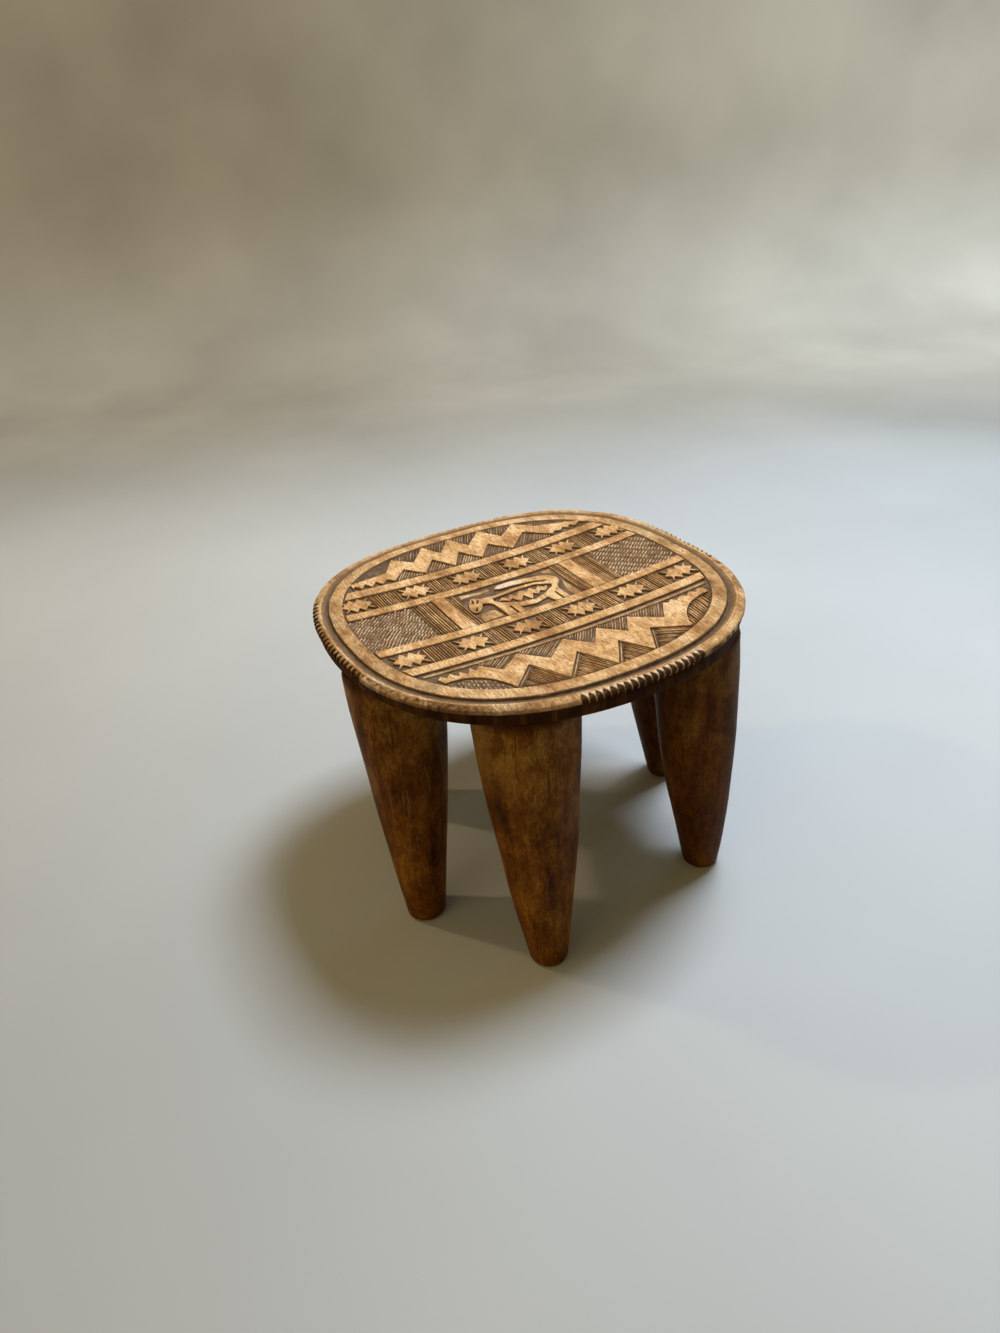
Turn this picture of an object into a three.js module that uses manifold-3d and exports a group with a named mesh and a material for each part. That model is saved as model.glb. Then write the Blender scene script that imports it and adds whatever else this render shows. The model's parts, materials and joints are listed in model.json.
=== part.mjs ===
// Carved six-legged stool: a dished, relief-carved seat on tapered legs. Millimetres, +Z up.
// Origin on the floor under the middle of the seat, +X along the straps of the carving.
import * as THREE from 'three';
import { mergeVertices } from 'three/addons/utils/BufferGeometryUtils.js';
import Module from 'manifold-3d';

const wasm = await Module();
wasm.setup();

// Carved field: the area inside the plain border band
const fieldHalfLength = 150;
const fieldHalfWidth = 144.5;
const outlineExponent = 2.5;

// Dished upper surface: height of the middle, and how much higher the ends and sides of the field are
const seatCentreHeight = 258.5;
const endRise = 6.5;
const sideRise = 5.4;

// Rim of the seat, from the field outwards; every drop is measured down from the dish
const bandWidth = 11.5;
const bandDrop = 1.3;
const bandStepWidth = 0.8;
const channelDrop = 4.3;
const channelFloorWidth = 3.2;
const channelFloorDrop = 3.6;
const channelSlopeWidth = 2.8;
const beadWidth = 1.6;
const beadDrop = 2.6;
const lipWidth = 5.7;
const lipDrop = 6.2;
const lipTuckWidth = 0.8;
const lipTuckDrop = 9.2;
const skirtTopInset = 2.8;
const skirtTopDrop = 11.4;
const skirtSlope = 0.8;
const seatThickness = 21.5;

// The rim is cut deeper towards the near right and far left, and shallower in between
const rimWarpShare = 0.2;
const rimWarpDegrees = 300;

// Depth of the carving below the border band
const groundDepth = 2.2;
const boundaryGrooveWidth = 1.3;
const boundaryGrooveDepth = 1.1;

// Straps: lower and upper edge of each, as shares of the field's half width, near side first
const strapEdgeShares = [[-0.500, -0.419], [-0.222, -0.145], [0.275, 0.351], [0.535, 0.621]];

// Upright bars of the middle row: left and right edge, as shares of the field's half length
const barEdgeShares = [[-0.467, -0.380], [0.387, 0.480]];

// Leaf-star blocks: middles along the field as shares of its half length
const starMiddleShares = [-0.857, -0.490, -0.155, 0.190, 0.522, 0.862];
const starWidth = 28;
const starHeight = 23.2;
const starLongNotches = 3;
const starShortNotches = 2;
const starLongNotchDepth = 5.4;
const starShortNotchDepth = 3.2;

// Zigzag ribbons: corners as shares of the field's half length and half width, left to right
const nearUpperShares = [
  [-0.829, -0.607], [-0.804, -0.580], [-0.780, -0.609], [-0.750, -0.574], [-0.720, -0.623], [-0.700, -0.580],
  [-0.671, -0.627], [-0.640, -0.574], [-0.620, -0.614], [-0.587, -0.575], [-0.500, -0.692], [-0.363, -0.564],
  [-0.246, -0.718], [-0.083, -0.570], [0.022, -0.720], [0.121, -0.574], [0.233, -0.718], [0.321, -0.574],
  [0.467, -0.718], [0.563, -0.571], [0.587, -0.595], [0.617, -0.571], [0.640, -0.601], [0.679, -0.574],
  [0.707, -0.601], [0.746, -0.567], [0.771, -0.597], [0.808, -0.567], [0.833, -0.592],
];
const nearLowerShares = [
  [0.520, -0.905], [0.342, -0.770], [0.222, -0.992], [0.133, -0.779], [-0.005, -0.998],
  [-0.100, -0.744], [-0.271, -0.970], [-0.371, -0.718], [-0.533, -0.898],
];
const nearLensShares = {
  left: { tip: [-0.815, -0.660], bend: [-0.600, -0.628], root: [-0.533, -0.898] },
  right: { tip: [0.829, -0.645], bend: [0.612, -0.635], root: [0.520, -0.905] },
};
const farUpperShares = [
  [-0.800, 0.716], [-0.550, 0.765], [-0.450, 0.920], [-0.342, 0.813], [-0.213, 0.984], [-0.142, 0.844],
  [-0.021, 0.998], [0.058, 0.844], [0.196, 0.993], [0.292, 0.835], [0.425, 0.947], [0.540, 0.822],
  [0.725, 0.744], [0.836, 0.690],
];
const farLowerShares = [
  [0.835, 0.652], [0.800, 0.688], [0.755, 0.653], [0.725, 0.688], [0.704, 0.657], [0.671, 0.688],
  [0.646, 0.657], [0.608, 0.678], [0.579, 0.650], [0.433, 0.796], [0.275, 0.636], [0.171, 0.787],
  [0.057, 0.638], [-0.037, 0.792], [-0.133, 0.630], [-0.225, 0.787], [-0.333, 0.639], [-0.433, 0.757],
  [-0.537, 0.640], [-0.573, 0.683], [-0.617, 0.636], [-0.646, 0.683], [-0.687, 0.632], [-0.717, 0.683],
  [-0.750, 0.632], [-0.779, 0.683], [-0.800, 0.657],
];

// Walking animal of the middle panel, as shares of the panel's length and height from its lower left
const animalOutlineShares = [
  [0.005, 0.472], [0.012, 0.421], [0.050, 0.495], [0.065, 0.375], [0.125, 0.462], [0.152, 0.565],
  [0.210, 0.479], [0.232, 0.420], [0.238, 0.000], [0.322, 0.000], [0.322, 0.250], [0.340, 0.250],
  [0.340, 0.000], [0.403, 0.000], [0.405, 0.150], [0.540, 0.105], [0.690, 0.170], [0.707, 0.000],
  [0.776, 0.000], [0.776, 0.245], [0.795, 0.245], [0.795, 0.000], [0.850, 0.000], [0.852, 0.320],
  [0.880, 0.420], [0.930, 0.511], [0.944, 0.620], [0.912, 0.741], [0.846, 0.812], [0.706, 0.874],
  [0.528, 0.924], [0.413, 0.906], [0.362, 0.833], [0.402, 0.792], [0.540, 0.785], [0.706, 0.745],
  [0.845, 0.650], [0.835, 0.615], [0.706, 0.690], [0.500, 0.705], [0.170, 0.705], [0.090, 0.730],
  [0.040, 0.610],
];
const bellyOutlineShares = [
  [0.260, 0.510], [0.275, 0.590], [0.400, 0.612], [0.530, 0.632], [0.706, 0.625], [0.842, 0.500],
  [0.820, 0.425], [0.720, 0.320], [0.590, 0.220], [0.440, 0.275], [0.300, 0.410],
];
const bellyZigzagShares = [
  [0.290, 0.480], [0.349, 0.553], [0.388, 0.485], [0.439, 0.575], [0.477, 0.485], [0.538, 0.605],
  [0.583, 0.505], [0.637, 0.594], [0.668, 0.485], [0.728, 0.585], [0.754, 0.485], [0.800, 0.520],
  [0.773, 0.421], [0.732, 0.372], [0.697, 0.421], [0.652, 0.330], [0.623, 0.412], [0.563, 0.250],
  [0.528, 0.430], [0.458, 0.278], [0.419, 0.441], [0.372, 0.380], [0.337, 0.462],
];
const panelLeftGap = 7.5;
const panelRightGap = 9.5;

// Gouged flutes on the lip: a group on each side, given by where it starts and ends around the rim
const fluteGroups = [
  { startDegrees: -14, endDegrees: 18, count: 15 },
  { startDegrees: 70, endDegrees: 106, count: 17 },
  { startDegrees: 150, endDegrees: 196, count: 21 },
  { startDegrees: 253.5, endDegrees: 291.5, count: 19 },
];
const fluteWidth = 5.6;
const fluteDepth = 2.2;
const fluteGougeOut = 0.6;
const fluteLeanDegrees = 16;

// Legs: six round tapers, each hand-cut a little differently. Middles of top and foot are shares of the
// field's half length and half width, radii are shares of the two usual radii.
const legTopRadius = 42;
const legFootRadius = 18;
const legs = [
  {
    name: 'leg_right', topShares: [0.872, 0.047], topRadiusShare: 0.869,
    footShares: [1.055, 0.057], footRadiusShare: 0.933, taperPower: 1.4,
  },
  {
    name: 'leg_back_right', topShares: [0.363, 0.847], topRadiusShare: 1,
    footShares: [0.426, 0.993], footRadiusShare: 1, taperPower: 1.5,
  },
  {
    name: 'leg_back_left', topShares: [-0.571, 0.731], topRadiusShare: 1,
    footShares: [-0.651, 0.806], footRadiusShare: 1, taperPower: 1.4,
  },
  {
    name: 'leg_left', topShares: [-0.886, -0.119], topRadiusShare: 0.988,
    footShares: [-0.948, -0.269], footRadiusShare: 1.017, taperPower: 1.36,
  },
  {
    name: 'leg_front_left', topShares: [-0.454, -0.794], topRadiusShare: 1.038,
    footShares: [-0.510, -0.996], footRadiusShare: 0.978, taperPower: 1.44,
  },
  {
    name: 'leg_front_right', topShares: [0.674, -0.724], topRadiusShare: 0.893,
    footShares: [0.698, -0.833], footRadiusShare: 0.933, taperPower: 2,
  },
];
const footEdgeRadius = 5;
const tenonRadius = 15;
const tenonLength = 9;
const jointClearance = 0.3;

// How finely round forms are divided
const ringSegments = 72;
const dishCells = 8;
const lipArcSteps = 4;
const lensArcSteps = 5;
const fluteSides = 4;
const fluteLevels = 3;
const legSegments = 28;
const legRings = 9;
const footEdgeSteps = 3;
const tenonSegments = 24;

// Cutters run past the surfaces that they cut
const overrun = 12;
const cutterHeight = 40;

const channelStart = bandWidth + bandStepWidth;
const channelFloorEnd = channelStart + channelFloorWidth;
const beadStart = channelFloorEnd + channelSlopeWidth;
const beadEnd = beadStart + beadWidth;
const lipEdge = beadEnd + lipWidth;
const skirtBottomOffset = lipEdge - skirtTopInset - skirtSlope;
const fluteMiddleDrop = (beadDrop + skirtTopDrop) / 2;
const fluteHalfLength = (skirtTopDrop - beadDrop) / 2;

// Height of a point that lies a drop below the dish; the warp of the rim scales the drop
function surfaceHeight(x, y, drop) {
  const dish = endRise * (x / fieldHalfLength) ** 2 + sideRise * (y / fieldHalfWidth) ** 2;
  const reach = Math.hypot(x, y) / (fieldHalfLength + lipEdge);
  const turn = Math.atan2(y, x) - THREE.MathUtils.degToRad(rimWarpDegrees);
  const warp = rimWarpShare * reach ** 2 * Math.cos(2 * turn);
  return seatCentreHeight + dish - drop * (1 + warp);
}

// Point of the rounded outline that lies a given distance outside the field's edge
function outlinePoint(angle, offset) {
  const c = Math.abs(Math.cos(angle)) / (fieldHalfLength + offset);
  const s = Math.abs(Math.sin(angle)) / (fieldHalfWidth + offset);
  const reach = (c ** outlineExponent + s ** outlineExponent) ** (-1 / outlineExponent);
  return new THREE.Vector2(reach * Math.cos(angle), reach * Math.sin(angle));
}

function outlineRing(offset) {
  return Array.from({ length: ringSegments }, (_, i) => (
    outlinePoint((i / ringSegments) * Math.PI * 2, offset)
  ));
}

// Ring of points around the seat, a drop below the dish
function seatRing(offset, drop) {
  return outlineRing(offset).map((p) => [p.x, p.y, surfaceHeight(p.x, p.y, drop)]);
}

// Closed body from rings of equal length, capped by a fan at each end point
function ringBody(firstPoint, rings, lastPoint) {
  const n = rings[0].length;
  const points = [firstPoint, ...rings.flat(), lastPoint];
  const last = points.length - 1;
  const at = (ring, i) => 1 + ring * n + (i % n);
  const faces = [];
  for (let i = 0; i < n; i += 1) {
    faces.push(0, at(0, i), at(0, i + 1));
    faces.push(last, at(rings.length - 1, i + 1), at(rings.length - 1, i));
  }
  for (let r = 0; r < rings.length - 1; r += 1) {
    for (let i = 0; i < n; i += 1) {
      faces.push(at(r, i), at(r + 1, i), at(r + 1, i + 1));
      faces.push(at(r, i), at(r + 1, i + 1), at(r, i + 1));
    }
  }
  const geometry = new THREE.BufferGeometry();
  geometry.setAttribute('position', new THREE.Float32BufferAttribute(points.flat(), 3));
  geometry.setIndex(faces);
  return geometry;
}

function toManifold(geometry) {
  const bare = geometry.clone();
  bare.deleteAttribute('normal');
  bare.deleteAttribute('uv');
  const merged = mergeVertices(bare);
  return new wasm.Manifold(new wasm.Mesh({
    numProp: 3,
    vertProperties: new Float32Array(merged.attributes.position.array),
    triVerts: new Uint32Array(merged.index.array),
  }));
}

function toGeometry(manifold) {
  const mesh = manifold.getMesh();
  const geometry = new THREE.BufferGeometry();
  geometry.setAttribute('position', new THREE.BufferAttribute(new Float32Array(mesh.vertProperties), 3));
  geometry.setIndex(new THREE.BufferAttribute(new Uint32Array(mesh.triVerts), 1));
  geometry.computeVertexNormals();
  return geometry;
}

// Upright prism through the whole dish from a flat outline
function prism(points) {
  const shape = new THREE.Shape(points);
  const geometry = new THREE.ExtrudeGeometry(shape, { depth: cutterHeight, bevelEnabled: false });
  return toManifold(geometry.translate(0, 0, seatCentreHeight - overrun));
}

function joined(manifolds) {
  return manifolds.reduce((sum, next) => sum.add(next));
}

// Layer that follows the dish across the whole seat, between two drops below it
function dishedLayer(upperDrop, lowerDrop) {
  const length = 2 * (fieldHalfLength + lipEdge + overrun);
  const width = 2 * (fieldHalfWidth + lipEdge + overrun);
  const geometry = new THREE.BoxGeometry(length, width, lowerDrop - upperDrop, dishCells, dishCells, 1);
  const points = geometry.attributes.position;
  for (let i = 0; i < points.count; i += 1) {
    const drop = points.getZ(i) > 0 ? upperDrop : lowerDrop;
    points.setZ(i, surfaceHeight(points.getX(i), points.getY(i), drop));
  }
  return toManifold(geometry);
}

// Seat before carving: dish, border band, channel, bead, rounded lip, skirt and underside
function seatBlank() {
  const lipArc = Array.from({ length: lipArcSteps }, (_, i) => {
    const turn = ((i + 1) / lipArcSteps) * (Math.PI / 2);
    const drop = THREE.MathUtils.lerp(lipDrop, beadDrop, Math.cos(turn));
    return seatRing(beadEnd + lipWidth * Math.sin(turn), drop);
  });
  const rings = [
    seatRing(0, 0),
    seatRing(bandWidth, bandDrop),
    seatRing(channelStart, channelDrop),
    seatRing(channelFloorEnd, channelFloorDrop),
    seatRing(beadStart, beadDrop),
    ...lipArc,
    seatRing(lipEdge - lipTuckWidth, lipTuckDrop),
    seatRing(lipEdge - skirtTopInset, skirtTopDrop),
    seatRing(skirtBottomOffset, seatThickness),
    seatRing(skirtBottomOffset, seatThickness + overrun),
  ];
  const upperMiddle = [0, 0, seatCentreHeight + endRise];
  const lowerMiddle = [0, 0, seatCentreHeight - seatThickness - overrun];
  const blank = toManifold(ringBody(upperMiddle, rings, lowerMiddle));
  return blank.subtract(dishedLayer(seatThickness, seatThickness + cutterHeight));
}

const fieldPoint = ([x, y]) => new THREE.Vector2(x * fieldHalfLength, y * fieldHalfWidth);

function strapPrisms() {
  return strapEdgeShares.map(([low, high]) => prism([
    fieldPoint([-1, low]), fieldPoint([1, low]), fieldPoint([1, high]), fieldPoint([-1, high]),
  ]));
}

function barPrisms() {
  const low = strapEdgeShares[1][1];
  const high = strapEdgeShares[2][0];
  return barEdgeShares.map(([left, right]) => prism([
    fieldPoint([left, low]), fieldPoint([right, low]), fieldPoint([right, high]), fieldPoint([left, high]),
  ]));
}

// Zigzag side from one corner to the next: tooth tips on the line, notches cut to the left of it
function notchedSide(from, to, notches, depth) {
  const along = to.clone().sub(from);
  const inward = new THREE.Vector2(-along.y, along.x).normalize().multiplyScalar(depth);
  return Array.from({ length: notches * 2 }, (_, i) => {
    const p = from.clone().addScaledVector(along, i / (notches * 2));
    return i % 2 ? p.add(inward) : p;
  });
}

// Block with a row of chips cut into each side, which leaves a pair of joined leaf stars
function starPrism(middle) {
  const corner = (x, y) => new THREE.Vector2(
    middle.x + (x * starWidth) / 2,
    middle.y + (y * starHeight) / 2,
  );
  const corners = [corner(-1, -1), corner(1, -1), corner(1, 1), corner(-1, 1)];
  return prism([
    ...notchedSide(corners[0], corners[1], starLongNotches, starLongNotchDepth),
    ...notchedSide(corners[1], corners[2], starShortNotches, starShortNotchDepth),
    ...notchedSide(corners[2], corners[3], starLongNotches, starLongNotchDepth),
    ...notchedSide(corners[3], corners[0], starShortNotches, starShortNotchDepth),
  ]);
}

function starRow(lowStrap, highStrap) {
  const y = (strapEdgeShares[lowStrap][1] + strapEdgeShares[highStrap][0]) / 2;
  return starMiddleShares.map((x) => starPrism(fieldPoint([x, y])));
}

// Near ribbon: its lower side follows the two arched lenses at the ends
function nearRibbonPrism() {
  const arc = ({ tip, bend, root }) => new THREE.QuadraticBezierCurve(
    fieldPoint(tip), fieldPoint(bend), fieldPoint(root),
  ).getPoints(lensArcSteps);
  return prism([
    ...nearUpperShares.map(fieldPoint),
    ...arc(nearLensShares.right),
    ...nearLowerShares.slice(1, -1).map(fieldPoint),
    ...arc(nearLensShares.left).reverse(),
  ].reverse());
}

function farRibbonPrism() {
  return prism([...farUpperShares, ...farLowerShares].map(fieldPoint).reverse());
}

// Panel between the two bars, inset from bars and straps
function panelPoint([x, y]) {
  const left = barEdgeShares[0][1] * fieldHalfLength + panelLeftGap;
  const right = barEdgeShares[1][0] * fieldHalfLength - panelRightGap;
  const low = strapEdgeShares[1][1] * fieldHalfWidth;
  const high = strapEdgeShares[2][0] * fieldHalfWidth;
  return new THREE.Vector2(THREE.MathUtils.lerp(left, right, x), THREE.MathUtils.lerp(low, high, y));
}

function animalPrism() {
  const body = prism(animalOutlineShares.map(panelPoint));
  const belly = prism(bellyOutlineShares.map(panelPoint));
  const zigzag = prism(bellyZigzagShares.map(panelPoint));
  return body.subtract(belly).add(zigzag);
}

// Wood above the dish, and between the raised motifs down to the ground
function fieldCutter() {
  const raised = joined([
    ...strapPrisms(),
    ...barPrisms(),
    ...starRow(0, 1),
    ...starRow(2, 3),
    nearRibbonPrism(),
    farRibbonPrism(),
    animalPrism(),
  ]);
  const ground = dishedLayer(-overrun / 2, groundDepth).subtract(raised);
  const field = prism(outlineRing(-boundaryGrooveWidth / 2));
  return dishedLayer(-overrun, 0).add(ground).intersect(field);
}

// Fine groove between the field and the border band
function boundaryCutter() {
  const ring = prism(outlineRing(0)).subtract(prism(outlineRing(-boundaryGrooveWidth)));
  return dishedLayer(-overrun, boundaryGrooveDepth).intersect(ring);
}

// One upright flute: a pointed gouge cut that leans with the lip
function fluteCutter(angle, pitch) {
  const outer = outlinePoint(angle, lipEdge);
  const along = outlinePoint(angle + pitch / 2, lipEdge).sub(outlinePoint(angle - pitch / 2, lipEdge));
  const geometry = new THREE.SphereGeometry(1, fluteSides, fluteLevels);
  geometry.rotateX(Math.PI / 2);
  geometry.scale(fluteDepth + fluteGougeOut, fluteWidth / 2, fluteHalfLength);
  geometry.rotateY(-THREE.MathUtils.degToRad(fluteLeanDegrees));
  geometry.rotateZ(Math.atan2(along.y, along.x) - Math.PI / 2);
  const outward = new THREE.Vector2(along.y, -along.x).normalize().multiplyScalar(fluteGougeOut);
  const z = surfaceHeight(outer.x, outer.y, fluteMiddleDrop);
  return toManifold(geometry.translate(outer.x + outward.x, outer.y + outward.y, z));
}

function fluteCutters() {
  return fluteGroups.flatMap(({ startDegrees, endDegrees, count }) => {
    const pitch = THREE.MathUtils.degToRad((endDegrees - startDegrees) / count);
    const start = THREE.MathUtils.degToRad(startDegrees);
    return Array.from({ length: count }, (_, i) => fluteCutter(start + (i + 0.5) * pitch, pitch));
  });
}

function roundPin(place, radius, bottom, top) {
  const geometry = new THREE.CylinderGeometry(radius, radius, top - bottom, tenonSegments);
  geometry.rotateX(Math.PI / 2);
  return toManifold(geometry.translate(place.x, place.y, (bottom + top) / 2));
}

function mortiseCutter(leg) {
  const place = fieldPoint(leg.topShares);
  const under = surfaceHeight(place.x, place.y, seatThickness);
  return roundPin(place, tenonRadius + jointClearance, under - overrun, under + tenonLength + jointClearance);
}

function seatSolid() {
  const cutters = [fieldCutter(), boundaryCutter(), ...fluteCutters(), ...legs.map(mortiseCutter)];
  return cutters.reduce((body, cutter) => body.subtract(cutter), seatBlank());
}

// Tapered leg as rings from the top down to a small flat foot with a rounded edge, then its tenon
function legSolid(leg, trim) {
  const top = fieldPoint(leg.topShares);
  const foot = fieldPoint(leg.footShares);
  const topRadius = legTopRadius * leg.topRadiusShare;
  const footRadius = legFootRadius * leg.footRadiusShare;
  const topHeight = surfaceHeight(top.x, top.y, seatThickness);
  const blankHeight = topHeight + overrun;
  const ringAt = (share, radius, height) => {
    const middle = top.clone().lerp(foot, share);
    return Array.from({ length: legSegments }, (_, i) => {
      const turn = (i / legSegments) * Math.PI * 2;
      return [middle.x + radius * Math.cos(turn), middle.y + radius * Math.sin(turn), height];
    });
  };
  const taper = (share) => THREE.MathUtils.lerp(topRadius, footRadius, share ** leg.taperPower);
  const rings = [ringAt(0, topRadius, blankHeight)];
  for (let i = 0; i <= legRings; i += 1) {
    const share = i / legRings;
    rings.push(ringAt(share, taper(share), THREE.MathUtils.lerp(topHeight, footEdgeRadius, share)));
  }
  for (let i = 1; i <= footEdgeSteps; i += 1) {
    const turn = (i / footEdgeSteps) * (Math.PI / 2);
    const radius = footRadius - footEdgeRadius * (1 - Math.cos(turn));
    rings.push(ringAt(1, radius, footEdgeRadius * (1 - Math.sin(turn))));
  }
  const blank = toManifold(ringBody([top.x, top.y, blankHeight], rings, [foot.x, foot.y, 0]));
  const tenon = roundPin(top, tenonRadius, topHeight - overrun, topHeight + tenonLength);
  return blank.subtract(trim).add(tenon);
}

const carvedWood = () => new THREE.MeshStandardMaterial({ color: 0xa87a48, roughness: 0.62, metalness: 0 });
const darkWood = () => new THREE.MeshStandardMaterial({ color: 0x5a3820, roughness: 0.5, metalness: 0 });

function partMesh(name, solid, material) {
  const mesh = new THREE.Mesh(toGeometry(solid), material);
  mesh.name = name;
  return mesh;
}

const stool = new THREE.Group();
stool.add(partMesh('seat', seatSolid(), carvedWood()));
const trim = dishedLayer(seatThickness + jointClearance - cutterHeight, seatThickness + jointClearance);
for (const leg of legs) {
  stool.add(partMesh(leg.name, legSolid(leg, trim), darkWood()));
}

export default stool;
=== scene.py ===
import json
import math
import random

import bmesh
import bpy
from mathutils import Matrix, Vector, noise

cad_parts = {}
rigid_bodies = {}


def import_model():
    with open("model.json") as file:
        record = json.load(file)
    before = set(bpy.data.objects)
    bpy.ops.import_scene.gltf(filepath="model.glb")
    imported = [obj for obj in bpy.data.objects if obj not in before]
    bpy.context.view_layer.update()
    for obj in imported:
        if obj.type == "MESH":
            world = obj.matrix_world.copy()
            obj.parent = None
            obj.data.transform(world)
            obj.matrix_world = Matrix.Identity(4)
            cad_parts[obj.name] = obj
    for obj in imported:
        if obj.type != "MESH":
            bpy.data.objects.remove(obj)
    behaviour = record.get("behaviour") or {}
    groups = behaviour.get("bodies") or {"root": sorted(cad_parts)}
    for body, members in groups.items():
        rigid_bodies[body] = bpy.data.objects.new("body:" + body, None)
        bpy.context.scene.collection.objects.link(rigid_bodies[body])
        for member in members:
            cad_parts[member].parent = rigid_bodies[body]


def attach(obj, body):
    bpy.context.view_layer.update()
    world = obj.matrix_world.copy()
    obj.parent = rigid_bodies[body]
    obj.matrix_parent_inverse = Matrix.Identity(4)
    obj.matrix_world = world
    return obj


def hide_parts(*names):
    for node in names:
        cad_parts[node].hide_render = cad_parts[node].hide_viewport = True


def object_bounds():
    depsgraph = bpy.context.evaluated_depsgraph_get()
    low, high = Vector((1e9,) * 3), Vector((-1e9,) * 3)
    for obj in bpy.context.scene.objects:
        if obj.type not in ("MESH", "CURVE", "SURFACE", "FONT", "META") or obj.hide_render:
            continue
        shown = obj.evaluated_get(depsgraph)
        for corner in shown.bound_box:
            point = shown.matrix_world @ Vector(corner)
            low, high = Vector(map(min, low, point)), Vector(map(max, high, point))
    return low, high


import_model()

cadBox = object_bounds()

# Carved stool. The shapes are worked out in millimetres and put in place in metres.
millimetre = 0.001
weldDistance = 1e-4

seatForm = {
    "fieldHalfLength": 150, "fieldHalfWidth": 144.5, "outlinePower": 2.5,
    "centreHeight": 258.5, "endRise": 6.5, "sideRise": 5.4,
    "lipEdge": 25.6, "thickness": 21.5, "groundDepth": 2.2,
    "rimWarp": 0.2, "rimWarpDegrees": 300, "underCadTop": 0.05,
}
halfLength, halfWidth = seatForm["fieldHalfLength"], seatForm["fieldHalfWidth"]
seatTop = cadBox[1].z / millimetre - seatForm["underCadTop"]


def surfaceHeight(x, y, drop):
    form = seatForm
    dish = form["endRise"] * (x / halfLength) ** 2
    dish += form["sideRise"] * (y / halfWidth) ** 2
    reach = math.hypot(x, y) / (halfLength + form["lipEdge"])
    turn = math.atan2(y, x) - math.radians(form["rimWarpDegrees"])
    return form["centreHeight"] + dish - drop * (1 + form["rimWarp"] * reach ** 2 * math.cos(2 * turn))


def outlinePoint(angle, offset):
    power = seatForm["outlinePower"]
    c = abs(math.cos(angle)) / (halfLength + offset)
    s = abs(math.sin(angle)) / (halfWidth + offset)
    reach = (c ** power + s ** power) ** (-1 / power)
    return reach * math.cos(angle), reach * math.sin(angle)


def heading(degrees):
    return Vector((math.cos(math.radians(degrees)), math.sin(math.radians(degrees))))


def fieldPoint(share):
    return share[0] * halfLength, share[1] * halfWidth


# How far the field reaches along X at a given Y
def fieldEnd(y, inset):
    power = seatForm["outlinePower"]
    side = min(1, abs(y) / (halfWidth - inset))
    return (halfLength - inset) * (1 - side ** power) ** (1 / power)


# Smooth hand-cut unevenness
def wobble(x, y, size, amount, seed):
    return amount * noise.noise(Vector((x / size, y / size, seed)))


def wobbles(x, y, noises):
    return sum(wobble(x, y, *settings) for settings in noises)


# The two values that the materials read: how deep in the carving, and how dark and handled
# The first also holds painted highlight (below zero) and, on the legs, painted shade; the second holds painted
# shade under the lip
def recessLayer(bm):
    return bm.verts.layers.float.get("recess") or bm.verts.layers.float.new("recess")


def stainLayer(bm):
    return bm.verts.layers.float.get("stain") or bm.verts.layers.float.new("stain")


def placeMesh(bm, name, material):
    for face in bm.faces:
        face.smooth = True
    mesh = bpy.data.meshes.new(name)
    bm.to_mesh(mesh)
    bm.free()
    piece = bpy.data.objects.new(name, mesh)
    bpy.context.scene.collection.objects.link(piece)
    mesh.materials.append(material)
    return piece


# Millimetres to metres, shaded, riding on the one body
def finishPiece(bm, name, material, sharpDegrees=35):
    bmesh.ops.scale(bm, vec=(millimetre,) * 3, verts=bm.verts)
    bmesh.ops.recalc_face_normals(bm, faces=bm.faces)
    for edge in bm.edges:
        edge.smooth = edge.is_manifold and edge.calc_face_angle() < math.radians(sharpDegrees)
    piece = placeMesh(bm, name, material)
    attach(piece, "root")
    return piece


# Moves the whole of one bmesh into another
def addInto(target, bm):
    mesh = bpy.data.meshes.new("part")
    bm.to_mesh(mesh)
    bm.free()
    target.from_mesh(mesh)
    bpy.data.meshes.remove(mesh)


# Grid that the caller wraps into a round form: its vertices with their column and row
def tubeGrid(columns, rows):
    bm = bmesh.new()
    recessLayer(bm)
    stainLayer(bm)
    bmesh.ops.create_grid(bm, x_segments=columns, y_segments=rows - 1, size=1)
    places = []
    for vert in bm.verts:
        column = round((vert.co.x + 1) / 2 * columns)
        row = round((vert.co.y + 1) / 2 * (rows - 1))
        places.append((vert, column, row))
    return bm, places


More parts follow.
